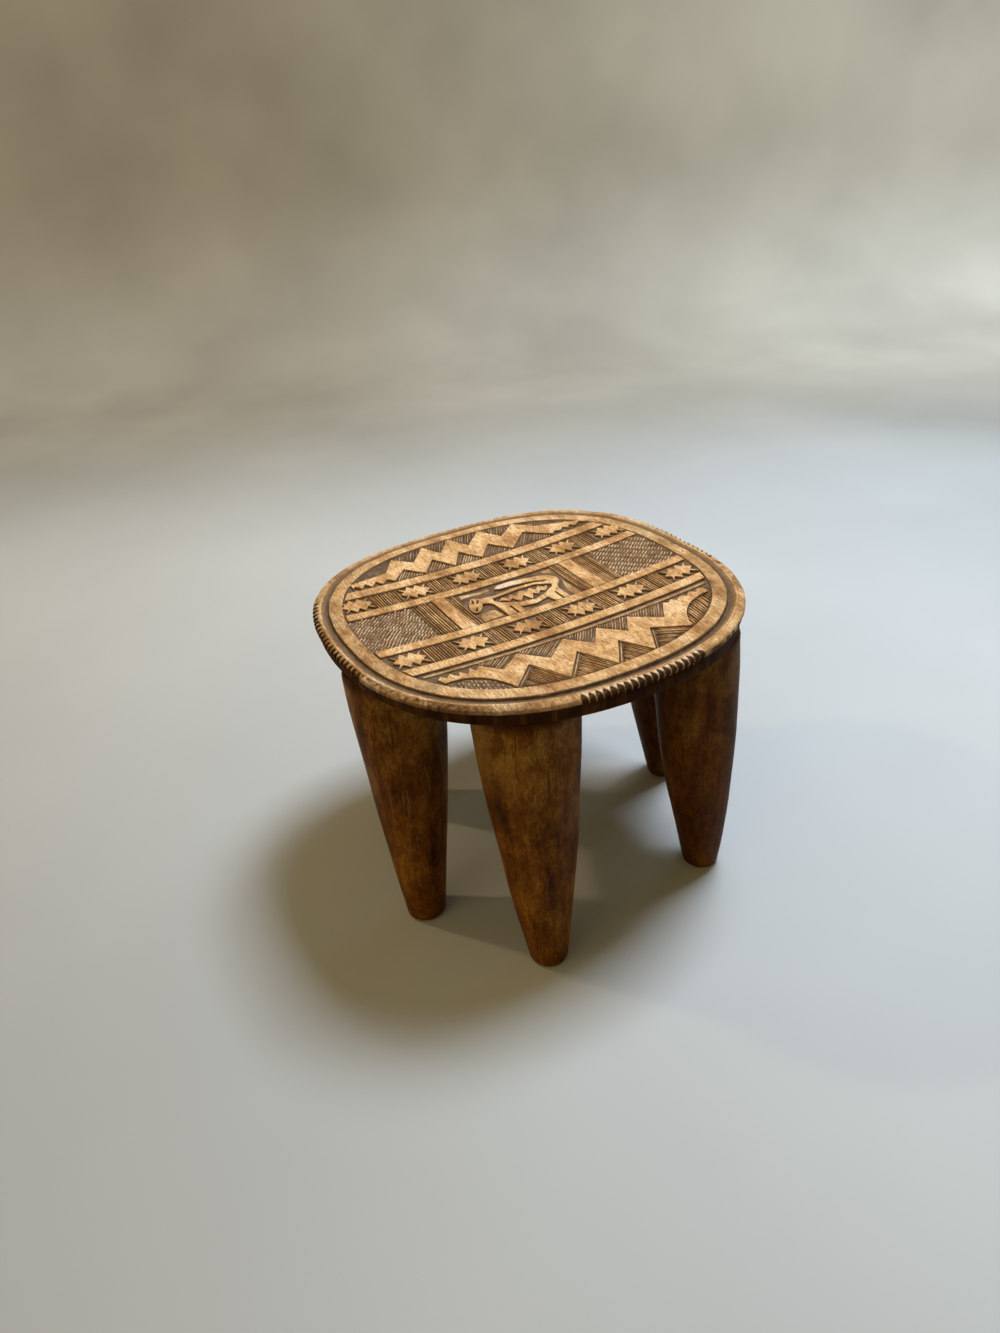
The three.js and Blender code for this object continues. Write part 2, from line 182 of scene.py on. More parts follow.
# Seat: ground of the carving, border band, channel, bead, rounded lip, skirt and underside
rim = {
    "columns": 1440, "insideShares": (0.0, 0.3, 0.6, 0.85, 1.0), "grooveWidth": 1.3, "innerReach": 200,
    # Offset, drop, recess and stain: border band, channel and bead
    "topRows": ((0, 0.75, 0.85, 0), (0.3, 0.25, 0.08, 0), (0.9, 0.1, 0.08, 0), (3.5, 0.3, 0.08, 0),
                (6.5, 0.65, 0.08, 0), (9.5, 1.05, 0.08, 0), (11.0, 1.3, 0.08, 0), (11.5, 1.7, 0.5, 0.1),
                (11.8, 2.4, 0.7, 0.1), (12.3, 4.3, 0.95, 0.15), (13.0, 4.5, 0.9, 0.15),
                (14.3, 4.25, 0.72, 0.15), (15.5, 3.65, 0.62, 0.15), (17.0, 3.05, 0.55, 0.15),
                (18.2, 2.65, 0.4, 0.15), (18.5, 2.62, 0.1, 0.05), (18.9, 2.5, 0, 0.05),
                (19.4, 2.65, 0.15, 0.05), (19.9, 3.0, 0.4, 0.05)),
    "lipStart": 19.9, "lipWidth": 5.6, "lipTop": 2.7, "lipDrop": 6.2, "lipSteps": 13, "lipTone": (0.1, 0.05),
    # The tuck below the lip, then the skirt and the edge of the underside. Their rising recess and stain paint
    # shade under the lip.
    "underRows": ((25.5, 7.0, 0.136, 0.06), (25.4, 7.9, 0.16, 0.1), (25.15, 8.7, 0.22, 0.2),
                  (24.75, 9.25, 0.37, 0.45), (24.1, 9.7, 0.58, 0.8), (23.4, 10.1, 0.7, 1),
                  (22.8, 11.6, 0.6, 1), (22.7, 13.5, 0.6, 1),
                  (22.5, 16.0, 0.6, 1), (22.3, 18.5, 0.6, 1), (22.1, 20.6, 0.6, 1), (21.7, 21.25, 0.6, 1),
                  (20.8, 21.5, 0.6, 1), (16.0, 21.5, 0.6, 1), (8.0, 21.5, 0.6, 1)),
    # Each noise is its size, amount and seed
    "unevenRim": ((26, 0.55, 1), (7, 0.16, 2)), "unevenUnder": (30, 0.5, 5),
    "inside": 0.35, "easeRows": 3, "pushOut": 0.8, "pushDown": 0.35, "sunk": 0.15, "bandEdge": 12,
    "patina": ((21, 0.9, 8), (6, 0.35, 12)), "patinaRecess": 0.25, "patinaStain": 0.2,
    "bandWear": {"noise": (11, 1.1, 31), "least": 0.25, "share": 0.7},
    "endPatina": {"share": 0.22, "noise": (10, 1.2, 40)},
    "lipPatina": {"middle": 194, "reach": 56, "most": 0.85, "base": 0.72,
                  "noises": ((3, 0.55, 14), (12, 0.3, 15))},
    "lipStain": {"middle": 345, "reach": 38, "most": 0.45, "base": 0.4,
                 "noises": ((9, 1.6, 21), (3.5, 0.8, 22))},
}

# Gouged flutes: one group on each side of the rim, and a few worn chips beside the near group
flutes = {
    "groups": ((-14, 18, 15), (70, 106, 17), (150, 196, 21), (253.5, 291.5, 19)),
    "top": 0.3, "bottom": 15.8, "depth": 1.3, "widthShare": 0.98, "lean": 0.6, "ridgeEnd": 13.6,
    "limits": ((0.86, 1.03), (0.85, 1.1), (-0.08, 0.08)),  # width, depth and slant of one flute
    "pointed": 0.75, "blunt": 5, "bowl": 0.45, "endShare": 0.15,
    # Crests between flutes are rubbed pale; on the near group they are paler still as painted highlight
    "near": (236, 304), "nearWearAndHighlight": 1.1, "farWear": 0.25, "wearRise": 3, "wearFall": 20, "crestStain": 0.3,
    "cutRecess": (1.2, 2), "cutStain": (0.8, 1.5),
    "chips": ((296.2, 3.0), (301.6, 1.5), (304.3, 1.1), (308.6, 1.7), (312.4, 1.0)),
    "chipDrop": 7.4, "chipHeight": 1.9, "chipDepth": 0.8, "chipLean": 0.5, "chipSteep": 1.6,
    "chipStart": 2, "chipRecess": 0.5, "chipStain": 0.4, "seed": 11,
}


# Rows of the seat from the middle of the top to the middle of the underside: inside share or offset,
# drop, how deep in the carving (recess), how dark and handled (stain)
def rimRows():
    rows = [(share, None, seatForm["groundDepth"], 1, 0) for share in rim["insideShares"]]
    rows += [(None, *row) for row in rim["topRows"]]
    for step in range(1, rim["lipSteps"] + 1):
        turn = step / rim["lipSteps"] * math.pi / 2
        drop = rim["lipDrop"] + (rim["lipTop"] - rim["lipDrop"]) * math.cos(turn)
        rows.append((None, rim["lipStart"] + rim["lipWidth"] * math.sin(turn), drop, *rim["lipTone"]))
    rows += [(None, *row) for row in rim["underRows"]]
    below = (None, seatForm["thickness"], *rows[-1][3:])
    return rows + [(share, *below) for share in reversed(rim["insideShares"])]


# Depth of the gouge cut as a share of the deepest, and whether a flute group is here. Reach is the distance
# down the lip from the bead.
def fluteCut(degrees, reach, shapes):
    tall = (reach - flutes["top"]) / (flutes["bottom"] - flutes["top"])
    if not 0 < tall < 1:
        return 0, False
    for start, end, count in flutes["groups"]:
        along = ((degrees - start) % 360) / (end - start) * count - flutes["lean"] * (tall - 0.5)
        if 0 <= along < count:
            width, depth, shift = shapes[(start, int(along))]
            across = abs(along - int(along) - 0.5 - shift * (tall - 0.5)) * 2
            if tall < 0.5:
                taper = math.sin(math.pi * tall) ** flutes["pointed"]
            else:
                taper = (1 - (2 * tall - 1) ** flutes["blunt"]) ** 0.5
            wide = flutes["widthShare"] * width * taper
            if across < wide:
                bowl = (1 - (across / wide) ** 2) ** flutes["bowl"]
                return depth * bowl * min(1, min(tall, 1 - tall) / flutes["endShare"]), True
            return 0, True
    return 0, False


def chipCut(degrees, drop):
    for middle, half in flutes["chips"]:
        along = (degrees - middle) / half
        tall = (drop - flutes["chipDrop"] - flutes["chipLean"] * along) / flutes["chipHeight"]
        inside = 1 - along ** 2 - tall ** 2
        if inside > 0:
            return min(1, flutes["chipSteep"] * inside)
    return 0


# Direction that each row of the rim faces, and how far down the lip it lies
def rimProfile(rows):
    flat = [(-rim["innerReach"] * (1 - share) if offset is None else offset, -drop)
            for share, offset, drop, recess, dark in rows]
    normals, reaches = [], []
    reach = 0
    for i, (share, offset, drop, recess, dark) in enumerate(rows):
        before, after = flat[max(0, i - 1)], flat[min(len(rows) - 1, i + 1)]
        run, fall = after[0] - before[0], after[1] - before[1]
        size = math.hypot(run, fall)
        normals.append((-fall / size, run / size))
        onLip = i and offset is not None and reach + offset > rim["lipStart"]
        reach = reach + math.dist(flat[i], flat[i - 1]) if onLip else 0
        reaches.append(reach)
    return normals, reaches


# How deep and how stained the rim's wood looks at one place, with painted highlight on the near flute crests
def rimTone(x, y, degrees, offset, reach, fluted, recess, dark):
    patina, stained, wear = rim["lipPatina"], rim["lipStain"], rim["bandWear"]
    handled = max(0, 1 - ((degrees - patina["middle"]) / patina["reach"]) ** 4)
    # Crests between the flutes: rubbed pale, with painted highlight on the near group
    if fluted and 0 < reach < flutes["ridgeEnd"]:
        most = flutes["nearWearAndHighlight"] if flutes["near"][0] < degrees < flutes["near"][1] else flutes["farWear"]
        near, far = min(1, reach / flutes["wearRise"]), max(0, 1 - reach / flutes["wearFall"])
        recess = -most * near * far * (1 - handled)
        dark = min(dark, flutes["crestStain"])
    elif offset < rim["bandEdge"]:
        recess -= wear["share"] * max(0, wobble(x, y, *wear["noise"]) - wear["least"])
    if rim["lipStart"] < offset or reach:
        dark += patina["most"] * handled * (patina["base"] + wobbles(x, y, patina["noises"]))
        side = ((degrees - stained["middle"] + 180) % 360 - 180) / stained["reach"]
        blotch = max(0, stained["base"] + wobbles(x, y, stained["noises"]))
        dark += stained["most"] * max(0, 1 - side ** 2) * blotch
    if offset < rim["bandEdge"]:
        end = rim["endPatina"]
        dark += end["share"] * (x / halfLength) ** 2 * (1 + wobble(x, y, *end["noise"]))
    return recess, dark


def seatBody(material):
    columns = rim["columns"]
    rows = rimRows()
    bm, places = tubeGrid(columns, len(rows))
    recessAt, stainAt = recessLayer(bm), stainLayer(bm)
    pick = random.Random(flutes["seed"])
    shapes = {(start, i): tuple(pick.uniform(*limits) for limits in flutes["limits"])
              for start, end, count in flutes["groups"] for i in range(count)}
    normals, reaches = rimProfile(rows)
    for vert, column, row in places:
        share, offset, drop, recess, dark = rows[row]
        angle = (column % columns) / columns * 2 * math.pi
        if share is not None:
            x, y = outlinePoint(angle, -rim["grooveWidth"])
            x, y = x * share, y * share
            uneven = wobble(x, y, *rim["unevenUnder"]) if drop == seatForm["thickness"] else 0
            vert.co = (x, y, surfaceHeight(x, y, drop) + uneven)
            vert[recessAt], vert[stainAt] = recess, dark
            continue
        x, y = outlinePoint(angle, offset)
        uneven = wobbles(x, y, rim["unevenRim"])
        degrees, reach = math.degrees(angle), reaches[row]
        cut, fluted = fluteCut(degrees, reach, shapes)
        chip = chipCut(degrees, drop) if rim["lipStart"] + flutes["chipStart"] < offset else 0
        inward = flutes["depth"] * cut + flutes["chipDepth"] * chip
        out, up = normals[row]
        easing = min(1, (row - len(rim["insideShares"])) / rim["easeRows"])
        x, y = outlinePoint(angle, offset + easing * (uneven - rim["inside"]) * rim["pushOut"] - inward * out)
        lower = easing * (rim["sunk"] - rim["pushDown"] * uneven) + inward * up
        vert.co = (x, y, min(seatTop, surfaceHeight(x, y, drop + lower)))
        patina = max(0, wobbles(x, y, rim["patina"])) if offset < rim["bandEdge"] else 0
        recess, dark = rimTone(x, y, degrees, offset, reach, fluted, recess, dark)
        most, steep = flutes["cutRecess"]
        recess += rim["patinaRecess"] * patina + most * min(1, steep * cut) + flutes["chipRecess"] * chip
        most, steep = flutes["cutStain"]
        dark += rim["patinaStain"] * patina + min(most, steep * cut) + flutes["chipStain"] * chip
        vert[recessAt], vert[stainAt] = min(1, recess), max(0, min(1, dark))
    bmesh.ops.remove_doubles(bm, verts=bm.verts, dist=weldDistance)
    piece = finishPiece(bm, "seat_body", material, sharpDegrees=60)
    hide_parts("seat")
    print("seat body:", len(piece.data.polygons), "faces")
    return piece


# Raised carving: straps, bars, leaf stars, zigzag ribbons and the walking animal
relief = {
    "wallSlope": 0.42, "arris": 0.3, "arrisFall": 0.7, "sink": 0.8, "cell": 7, "snap": 1e-5,
    "unevenX": (11, 0.28, 3), "unevenY": (11, 0.28, 4), "unevenTop": (16, 0.1, 6),
    "straps": ((-0.500, -0.419), (-0.222, -0.145), (0.275, 0.351), (0.535, 0.621)),
    "bars": ((-0.467, -0.380), (0.387, 0.480)),
    "starMiddles": (-0.857, -0.490, -0.155, 0.190, 0.522, 0.862),
    "starWidth": 28, "starHeight": 23.2, "starSlope": 0.08, "starArris": 0.12,
    "longNotches": ((0.22, 0.5, 0.78), 6.4), "shortNotches": ((0.32, 0.68), 4.4),
    "thinRidge": {"left": -132, "low": -79, "high": -75.5, "endGap": 1, "drop": 0.9, "worn": 0.35},
    "panelLeftGap": 7.5, "panelRightGap": 9.5,
}

nearUpper = (
    (-0.829, -0.607), (-0.804, -0.58), (-0.78, -0.609), (-0.75, -0.574), (-0.72, -0.623), (-0.7, -0.58),
    (-0.671, -0.627), (-0.64, -0.574), (-0.62, -0.614), (-0.587, -0.575), (-0.5, -0.692), (-0.363, -0.564),
    (-0.246, -0.718), (-0.083, -0.57), (0.022, -0.72), (0.121, -0.574), (0.233, -0.718), (0.321, -0.574),
    (0.467, -0.718), (0.563, -0.571), (0.587, -0.595), (0.617, -0.571), (0.64, -0.601), (0.679, -0.574),
    (0.707, -0.601), (0.746, -0.567), (0.771, -0.597), (0.808, -0.567), (0.833, -0.592),
)
nearLower = (
    (0.52, -0.905), (0.342, -0.77), (0.222, -0.992), (0.133, -0.779), (-0.005, -0.998), (-0.1, -0.744),
    (-0.271, -0.97), (-0.371, -0.718), (-0.533, -0.898),
)
nearLenses = {
    "left": ((-0.815, -0.66), (-0.6, -0.628), (-0.533, -0.898)),
    "right": ((0.829, -0.645), (0.612, -0.635), (0.52, -0.905)),
}
farUpper = (
    (-0.8, 0.716), (-0.55, 0.765), (-0.45, 0.92), (-0.342, 0.813), (-0.213, 0.984), (-0.142, 0.844),
    (-0.021, 0.998), (0.058, 0.844), (0.196, 0.993), (0.292, 0.835), (0.425, 0.947), (0.54, 0.822),
    (0.725, 0.744), (0.836, 0.69),
)
farLower = (
    (0.835, 0.652), (0.8, 0.688), (0.755, 0.653), (0.725, 0.688), (0.704, 0.657), (0.671, 0.688),
    (0.646, 0.657), (0.608, 0.678), (0.579, 0.65), (0.433, 0.796), (0.275, 0.636), (0.171, 0.787),
    (0.057, 0.638), (-0.037, 0.792), (-0.133, 0.63), (-0.225, 0.787), (-0.333, 0.639), (-0.433, 0.757),
    (-0.537, 0.64), (-0.573, 0.683), (-0.617, 0.636), (-0.646, 0.683), (-0.687, 0.632), (-0.717, 0.683),
    (-0.75, 0.632), (-0.779, 0.683), (-0.8, 0.657),
)

# The animal, as shares of its panel's length and height from the lower left
animal = {
    "body": (
        (0.005, 0.4), (0.018, 0.335), (0.046, 0.322), (0.082, 0.358), (0.122, 0.44), (0.148, 0.53),
        (0.202, 0.495), (0.232, 0.42), (0.238, 0), (0.322, 0), (0.322, 0.25), (0.34, 0.25),
        (0.34, 0), (0.403, 0), (0.405, 0.15), (0.54, 0.105), (0.69, 0.17), (0.707, 0),
        (0.776, 0), (0.776, 0.245), (0.795, 0.245), (0.795, 0), (0.85, 0), (0.852, 0.32),
        (0.88, 0.42), (0.93, 0.511), (0.944, 0.62), (0.912, 0.741), (0.846, 0.812), (0.706, 0.874),
        (0.528, 0.924), (0.413, 0.906), (0.362, 0.833), (0.402, 0.792), (0.54, 0.785), (0.706, 0.745),
        (0.845, 0.65), (0.835, 0.615), (0.706, 0.69), (0.5, 0.705), (0.295, 0.655), (0.208, 0.675),
        (0.152, 0.7), (0.134, 0.732), (0.109, 0.744), (0.073, 0.702), (0.037, 0.61), (0.008, 0.48),
    ),
    "belly": (
        (0.26, 0.51), (0.275, 0.59), (0.4, 0.612), (0.53, 0.632), (0.706, 0.625), (0.842, 0.5),
        (0.82, 0.425), (0.72, 0.32), (0.59, 0.22), (0.44, 0.275), (0.3, 0.41),
    ),
    "zigzag": (
        (0.29, 0.48), (0.349, 0.553), (0.388, 0.485), (0.439, 0.575), (0.477, 0.485), (0.538, 0.605),
        (0.583, 0.505), (0.637, 0.594), (0.668, 0.485), (0.728, 0.585), (0.754, 0.485), (0.8, 0.52),
        (0.773, 0.421), (0.732, 0.372), (0.697, 0.421), (0.652, 0.33), (0.623, 0.412), (0.563, 0.25),
        (0.528, 0.43), (0.458, 0.278), (0.419, 0.441), (0.372, 0.38), (0.337, 0.462),
    ),
    "eyes": (((0.073, 0.588), (0.086, 0.596), (0.108, 0.7), (0.093, 0.708)),
             ((0.101, 0.566), (0.108, 0.551), (0.152, 0.655), (0.138, 0.672))),
    "mouth": ((0.027, 0.375), (0.083, 0.493), (0.057, 0.361)),
    "slope": 0.2, "arris": 0.15, "zigzagDrop": 0.3,
    # Painted highlight on the tail over the back: its box, and its recess below zero that turns it pale
    "tailHighlight": ((0.355, 0.775), (0.62, 0.95)), "tailHighlightRecess": -0.7,
}

# Rough patches of ground left higher inside the panel
panelPatches = {
    "drop": 1.4, "slope": 0.8, "worn": 0.22,
    "outlines": (
        ((0.018, 0.055), (0.11, 0.07), (0.225, 0.08), (0.205, 0.29), (0.17, 0.34), (0.071, 0.297),
         (0.022, 0.24)),
        ((0.905, 0.02), (0.98, 0.01), (0.985, 0.2), (0.982, 0.385), (0.98, 0.52), (0.985, 0.63),
         (0.945, 0.48), (0.9, 0.27), (0.895, 0.12)),
        ((0.03, 0.84), (0.103, 0.858), (0.222, 0.835), (0.337, 0.862), (0.333, 0.93), (0.164, 0.94),
         (0.04, 0.975)),
        ((0.885, 0.89), (0.95, 0.8), (0.985, 0.79), (0.988, 0.96), (0.89, 0.96)),
    ),
}


# Raised piece of carving with sloped walls and a softened arris. Heights are drops below the dish.
def raiseMotif(outline, holes=(), top=0.0, slope=None, arris=None, worn=0.0):
    bottom = seatForm["groundDepth"]
    slope = slope or relief["wallSlope"]
    arris = arris or relief["arris"]
    bm = bmesh.new()
    edges = []
    for loop in (outline, *holes):
        verts = [bm.verts.new((x, y, 0)) for x, y in loop]
        edges += [bm.edges.new((verts[i - 1], verts[i])) for i in range(len(verts))]
    bmesh.ops.triangle_fill(bm, edges=edges, use_beauty=True, use_dissolve=False, normal=(0, 0, 1))
    recess = recessLayer(bm)
    bmesh.ops.translate(bm, vec=(0, 0, -bottom - relief["sink"]), verts=bm.verts)
    lower = list(bm.faces)
    raised = bmesh.ops.extrude_face_region(bm, geom=lower, use_keep_orig=True)["geom"]
    crown = [item for item in raised if isinstance(item, bmesh.types.BMFace)]
    for level, inset in ((-bottom, 0), (-top - relief["arrisFall"] * arris, slope), (-top, arris)):
        if inset:
            bmesh.ops.inset_region(bm, faces=crown, thickness=inset, use_boundary=True, use_even_offset=True)
        for vert in {vert for face in crown for vert in face.verts}:
            vert.co.z = level
    for axis, normal in enumerate(((1, 0, 0), (0, 1, 0))):
        reach = [point[axis] for point in outline]
        for i in range(math.ceil(min(reach) / relief["cell"]), math.floor(max(reach) / relief["cell"]) + 1):
            place = [0, 0, 0]
            place[axis] = i * relief["cell"]
            bmesh.ops.bisect_plane(bm, geom=[*bm.verts, *bm.edges, *bm.faces], dist=relief["snap"],
                                   plane_co=place, plane_no=normal)
    for vert in bm.verts:
        x, y, z = vert.co
        fall = min(1, max(0, (-z - top) / (bottom - top)))
        vert[recess] = worn + (1 - worn) * fall
        x += wobble(x, y, *relief["unevenX"])
        y += wobble(x, y, *relief["unevenY"])
        vert.co = (x, y, min(seatTop, surfaceHeight(x, y, -z + wobble(x, y, *relief["unevenTop"]))))
    return bm


# Strap from border to border, its ends following the curve of the border
def strapOutline(low, high):
    lowY, highY = low * halfWidth, high * halfWidth
    heights = [lowY + (highY - lowY) * i / 3 for i in range(4)]
    right = [(fieldEnd(y, rim["grooveWidth"]), y) for y in heights]
    return right + [(-x, y) for x, y in reversed(right)]


def barOutline(left, right):
    low, high = relief["straps"][1][1], relief["straps"][2][0]
    return [fieldPoint(share) for share in ((left, low), (right, low), (right, high), (left, high))]


# Row of teeth from one corner to the next, with the notches cut to the left
def notchedSide(start, end, notches, depth):
    along = Vector(end) - Vector(start)
    inward = along.orthogonal().normalized() * depth
    points = [tuple(start)]
    for i, share in enumerate(notches):
        points.append(tuple(Vector(start) + along * share + inward))
        if i + 1 < len(notches):
            points.append(tuple(Vector(start) + along * (share + notches[i + 1]) / 2))
    return points


def starOutline(middle):
    x, y = middle
    wide, high = relief["starWidth"] / 2, relief["starHeight"] / 2
    corners = [(x - wide, y - high), (x + wide, y - high), (x + wide, y + high), (x - wide, y + high)]
    points = []
    for i, (notches, depth) in enumerate((relief["longNotches"], relief["shortNotches"]) * 2):
        points += notchedSide(corners[i], corners[(i + 1) % 4], notches, depth)
    return points


def starRows():
    rows = []
    for low, high in ((0, 1), (2, 3)):
        y = (relief["straps"][low][1] + relief["straps"][high][0]) / 2
        rows.append([fieldPoint((x, y)) for x in relief["starMiddles"]])
    return rows


def lensArc(tip, bend, root, steps=9):
    points = []
    for i in range(steps + 1):
        t = i / steps
        shares = [(1 - t) ** 2 * tip[k] + 2 * t * (1 - t) * bend[k] + t * t * root[k] for k in (0, 1)]
        points.append(fieldPoint(shares))
    return points


def nearRibbon():
    lower = [fieldPoint(share) for share in nearLower[1:-1]]
    outline = [fieldPoint(share) for share in nearUpper] + lensArc(*nearLenses["right"]) + lower
    return (outline + lensArc(*nearLenses["left"])[::-1])[::-1]


def farRibbon():
    return [fieldPoint(share) for share in farUpper + farLower][::-1]


def panelPoint(share):
    left = relief["bars"][0][1] * halfLength + relief["panelLeftGap"]
    right = relief["bars"][1][0] * halfLength - relief["panelRightGap"]
    low = relief["straps"][1][1] * halfWidth
    high = relief["straps"][2][0] * halfWidth
    return left + (right - left) * share[0], low + (high - low) * share[1]


def panelOutline(shares):
    return [panelPoint(share) for share in shares]


# The animal with its holes, and painted highlight on the tail over its back
def animalBody():
    holes = [panelOutline(shares) for shares in (animal["belly"], animal["mouth"], *animal["eyes"])]
    body = raiseMotif(panelOutline(animal["body"]), holes=holes, slope=animal["slope"], arris=animal["arris"])
    recess = recessLayer(body)
    low, high = panelOutline(animal["tailHighlight"])
    for vert in body.verts:
        x, y, _ = vert.co
        if vert[recess] == 0 and low[0] < x < high[0] and low[1] < y < high[1]:
            vert[recess] = animal["tailHighlightRecess"]
    return body


def seatRelief(material):
    bm = bmesh.new()
    recessLayer(bm)
    stainLayer(bm)
    for low, high in relief["straps"]:
        addInto(bm, raiseMotif(strapOutline(low, high)))
    for left, right in relief["bars"]:
        addInto(bm, raiseMotif(barOutline(left, right)))
    for row in starRows():
        for middle in row:
            addInto(bm, raiseMotif(starOutline(middle), slope=relief["starSlope"], arris=relief["starArris"]))
    ridge = relief["thinRidge"]
    left, low, high = ridge["left"], ridge["low"], ridge["high"]
    right = fieldEnd(low, rim["grooveWidth"]) - ridge["endGap"]
    corners = [(left, low), (right, low), (right, high), (left, high)]
    addInto(bm, raiseMotif(corners, top=ridge["drop"], worn=ridge["worn"]))
    addInto(bm, raiseMotif(nearRibbon()))
    addInto(bm, raiseMotif(farRibbon()))
    addInto(bm, animalBody())
    addInto(bm, raiseMotif(panelOutline(animal["zigzag"]), top=animal["zigzagDrop"]))
    for shares in panelPatches["outlines"]:
        addInto(bm, raiseMotif(panelOutline(shares), top=panelPatches["drop"],
                               slope=panelPatches["slope"], worn=panelPatches["worn"]))
    piece = finishPiece(bm, "seat_relief", material)
    print("raised carving:", len(piece.data.polygons), "faces")
    return piece


# Gouge strokes that roughen the sunk ground: fine hatching between the motifs and woven patches at the ends
hatching = {
    # Crests with a worn value below zero turn pale: rubbing, and in part painted highlight, most in the woven
    # patches
    "top": 0.85, "topSpread": 0.3, "crestShare": 0.42, "sink": 0.5, "step": 8, "crestWorn": (-0.2, 0.5),
    "shortest": 1, "shortestCut": 2.5, "unevenSide": (6, 0.35, 9), "seed": 23,
    "tipPinch": 0.55, "tipDrop": 0.35, "tipWorn": 0.3,
    "lineShift": (-0.12, 0.12), "dashStart": 0.1, "dashLeast": 0.4, "dashShare": (0.55, 0.85),
    "rowPitch": 2.35, "rowWidth": 1.5, "starGap": 0.6, "over": 1,
    "centreColumns": ((-89, -71, 0.3), (-57, -49.5, 0.2), (48.8, 57.8, 0.2), (72.2, 89, 0.3)),
    "leftPatch": {"from": -149, "to": -90, "rowTurn": -46, "rowPitch": 5.4, "dashTurn": 47, "dashLength": 6.2,
                  "dashPitch": 2.8, "width": 1.3, "lift": -0.45, "worn": (-0.9, 0.4)},
    "rightPatch": {"from": 90, "to": 148, "rowTurn": -50, "rowPitch": 8.2, "dashTurn": 37, "dashLength": 7.0,
                   "dashPitch": 2.9, "width": 1.8, "lift": -0.4, "worn": (-0.7, 0.3)},
    "patchReach": (48, 52), "patchMargin": 1.6, "patchShift": 0.2,
    "patchHalf": (0.42, 0.54), "patchWidth": (0.85, 1.1),
    # First corner of each hatched notch of the ribbons, and how it is filled
    "nearUpper": (9, 11, 13, 15, 17), "nearUpperFill": {"pitch": 2.1, "width": 1.3, "ragged": 0.2},
    "nearLower": (0, 2, 4, 6), "nearLowerFill": {"pitch": 2.15, "width": 1.4, "lift": -0.15, "ragged": 0.06},
    "rimStroke": 1.7, "rimGap": 1.6, "edgeGap": 2.7,
    "lenses": {"left": {"pitch": 3.2, "lift": -0.6, "dash": 6}, "right": {"pitch": 2.5}},
    "lensTurn": 82, "lensWidth": 1.5, "lensSteps": 8,
    "farUpper": (2, 4, 6, 8, 10),
    "farUpperFill": {"turn": 62, "pitch": 2.6, "width": 1.2, "lift": 0.3, "ragged": 0.3},
    "farLower": (8, 10, 12, 14, 16), "farLowerFill": {"turn": 55, "pitch": 2.4, "width": 1.4},
}


# One ridge left between two gouge cuts, pinched to a crest and sunk into the ground
def stroke(target, start, end, width, pick, lift=0.0, crestWorn=hatching["crestWorn"]):
    start, end = Vector(start), Vector(end)
    length = (end - start).length
    if length < hatching["shortest"]:
        return
    along = (end - start) / length
    across = along.orthogonal()
    bm = bmesh.new()
    recess = recessLayer(bm)
    bmesh.ops.create_cube(bm, size=2)
    if length > hatching["shortestCut"]:
        long = [edge for edge in bm.edges if abs(edge.verts[0].co.x - edge.verts[1].co.x) > 1]
        bmesh.ops.subdivide_edges(bm, edges=long, cuts=max(2, round(length / hatching["step"])))
    top = hatching["top"] - lift + pick.uniform(-1, 1) * hatching["topSpread"]
    worn = pick.uniform(*crestWorn)
    for vert in bm.verts:
        crest = vert.co.z > 0
        tip = abs(vert.co.x) > 0.99
        reach = vert.co.x * (1 - (width * 0.5 / length if crest else 0))
        side = vert.co.y * (hatching["crestShare"] if crest else 1) * (hatching["tipPinch"] if tip else 1)
        place = (start + end) / 2 + along * reach * length / 2 + across * side * width / 2
        place += across * wobble(place.x, place.y, *hatching["unevenSide"])
        drop = seatForm["groundDepth"] + hatching["sink"]
        if crest:
            drop = top + (hatching["tipDrop"] if tip else 0)
        vert.co = (place.x, place.y, surfaceHeight(place.x, place.y, drop))
        vert[recess] = worn + (hatching["tipWorn"] if tip else 0) if crest else 1
    addInto(target, bm)


# Where a line through a point runs inside an outline, as pairs of distances along it
def crossings(outline, point, along):
    across = along.orthogonal()
    hits = []
    for i, corner in enumerate(outline):
        first, second = Vector(outline[i - 1]) - point, Vector(corner) - point
        a, b = first.dot(across), second.dot(across)
        if a * b < 0:
            hits.append(first.dot(along) + (second.dot(along) - first.dot(along)) * a / (a - b))
    hits.sort()
    return list(zip(hits[::2], hits[1::2]))


# Parallel strokes that fill an outline, whole or cut into dashes. Ragged ones start late.
def hatchRegion(bm, pick, outline, turn, pitch, width, dash=None, lift=0.0, ragged=0.0):
    along = heading(turn)
    across = along.orthogonal()
    reach = [Vector(corner).dot(across) for corner in outline]
    count = int((max(reach) - min(reach)) / pitch)
    for i in range(count + 1):
        middle = across * (min(reach) + (i + 0.5) * pitch + pick.uniform(*hatching["lineShift"]) * pitch)
        for low, high in crossings(outline, middle, along):
            low += (high - low) * pick.uniform(0, ragged)
            if not dash:
                stroke(bm, middle + along * low, middle + along * high, width, pick, lift)
                continue
            place = low + pick.uniform(0, hatching["dashStart"]) * dash
            while place < high - dash * hatching["dashLeast"]:
                last = min(place + dash * pick.uniform(*hatching["dashShare"]), high)
                stroke(bm, middle + along * place, middle + along * last, width, pick, lift)
                place += dash


# Upright strokes between two straps
def hatchColumn(bm, pick, left, right, low, high, lift=0.0):
    low, high = low - hatching["over"], high + hatching["over"]
    box = [(left, low), (right, low), (right, high), (left, high)]
    hatchRegion(bm, pick, box, 90, hatching["rowPitch"], hatching["rowWidth"], lift=lift)


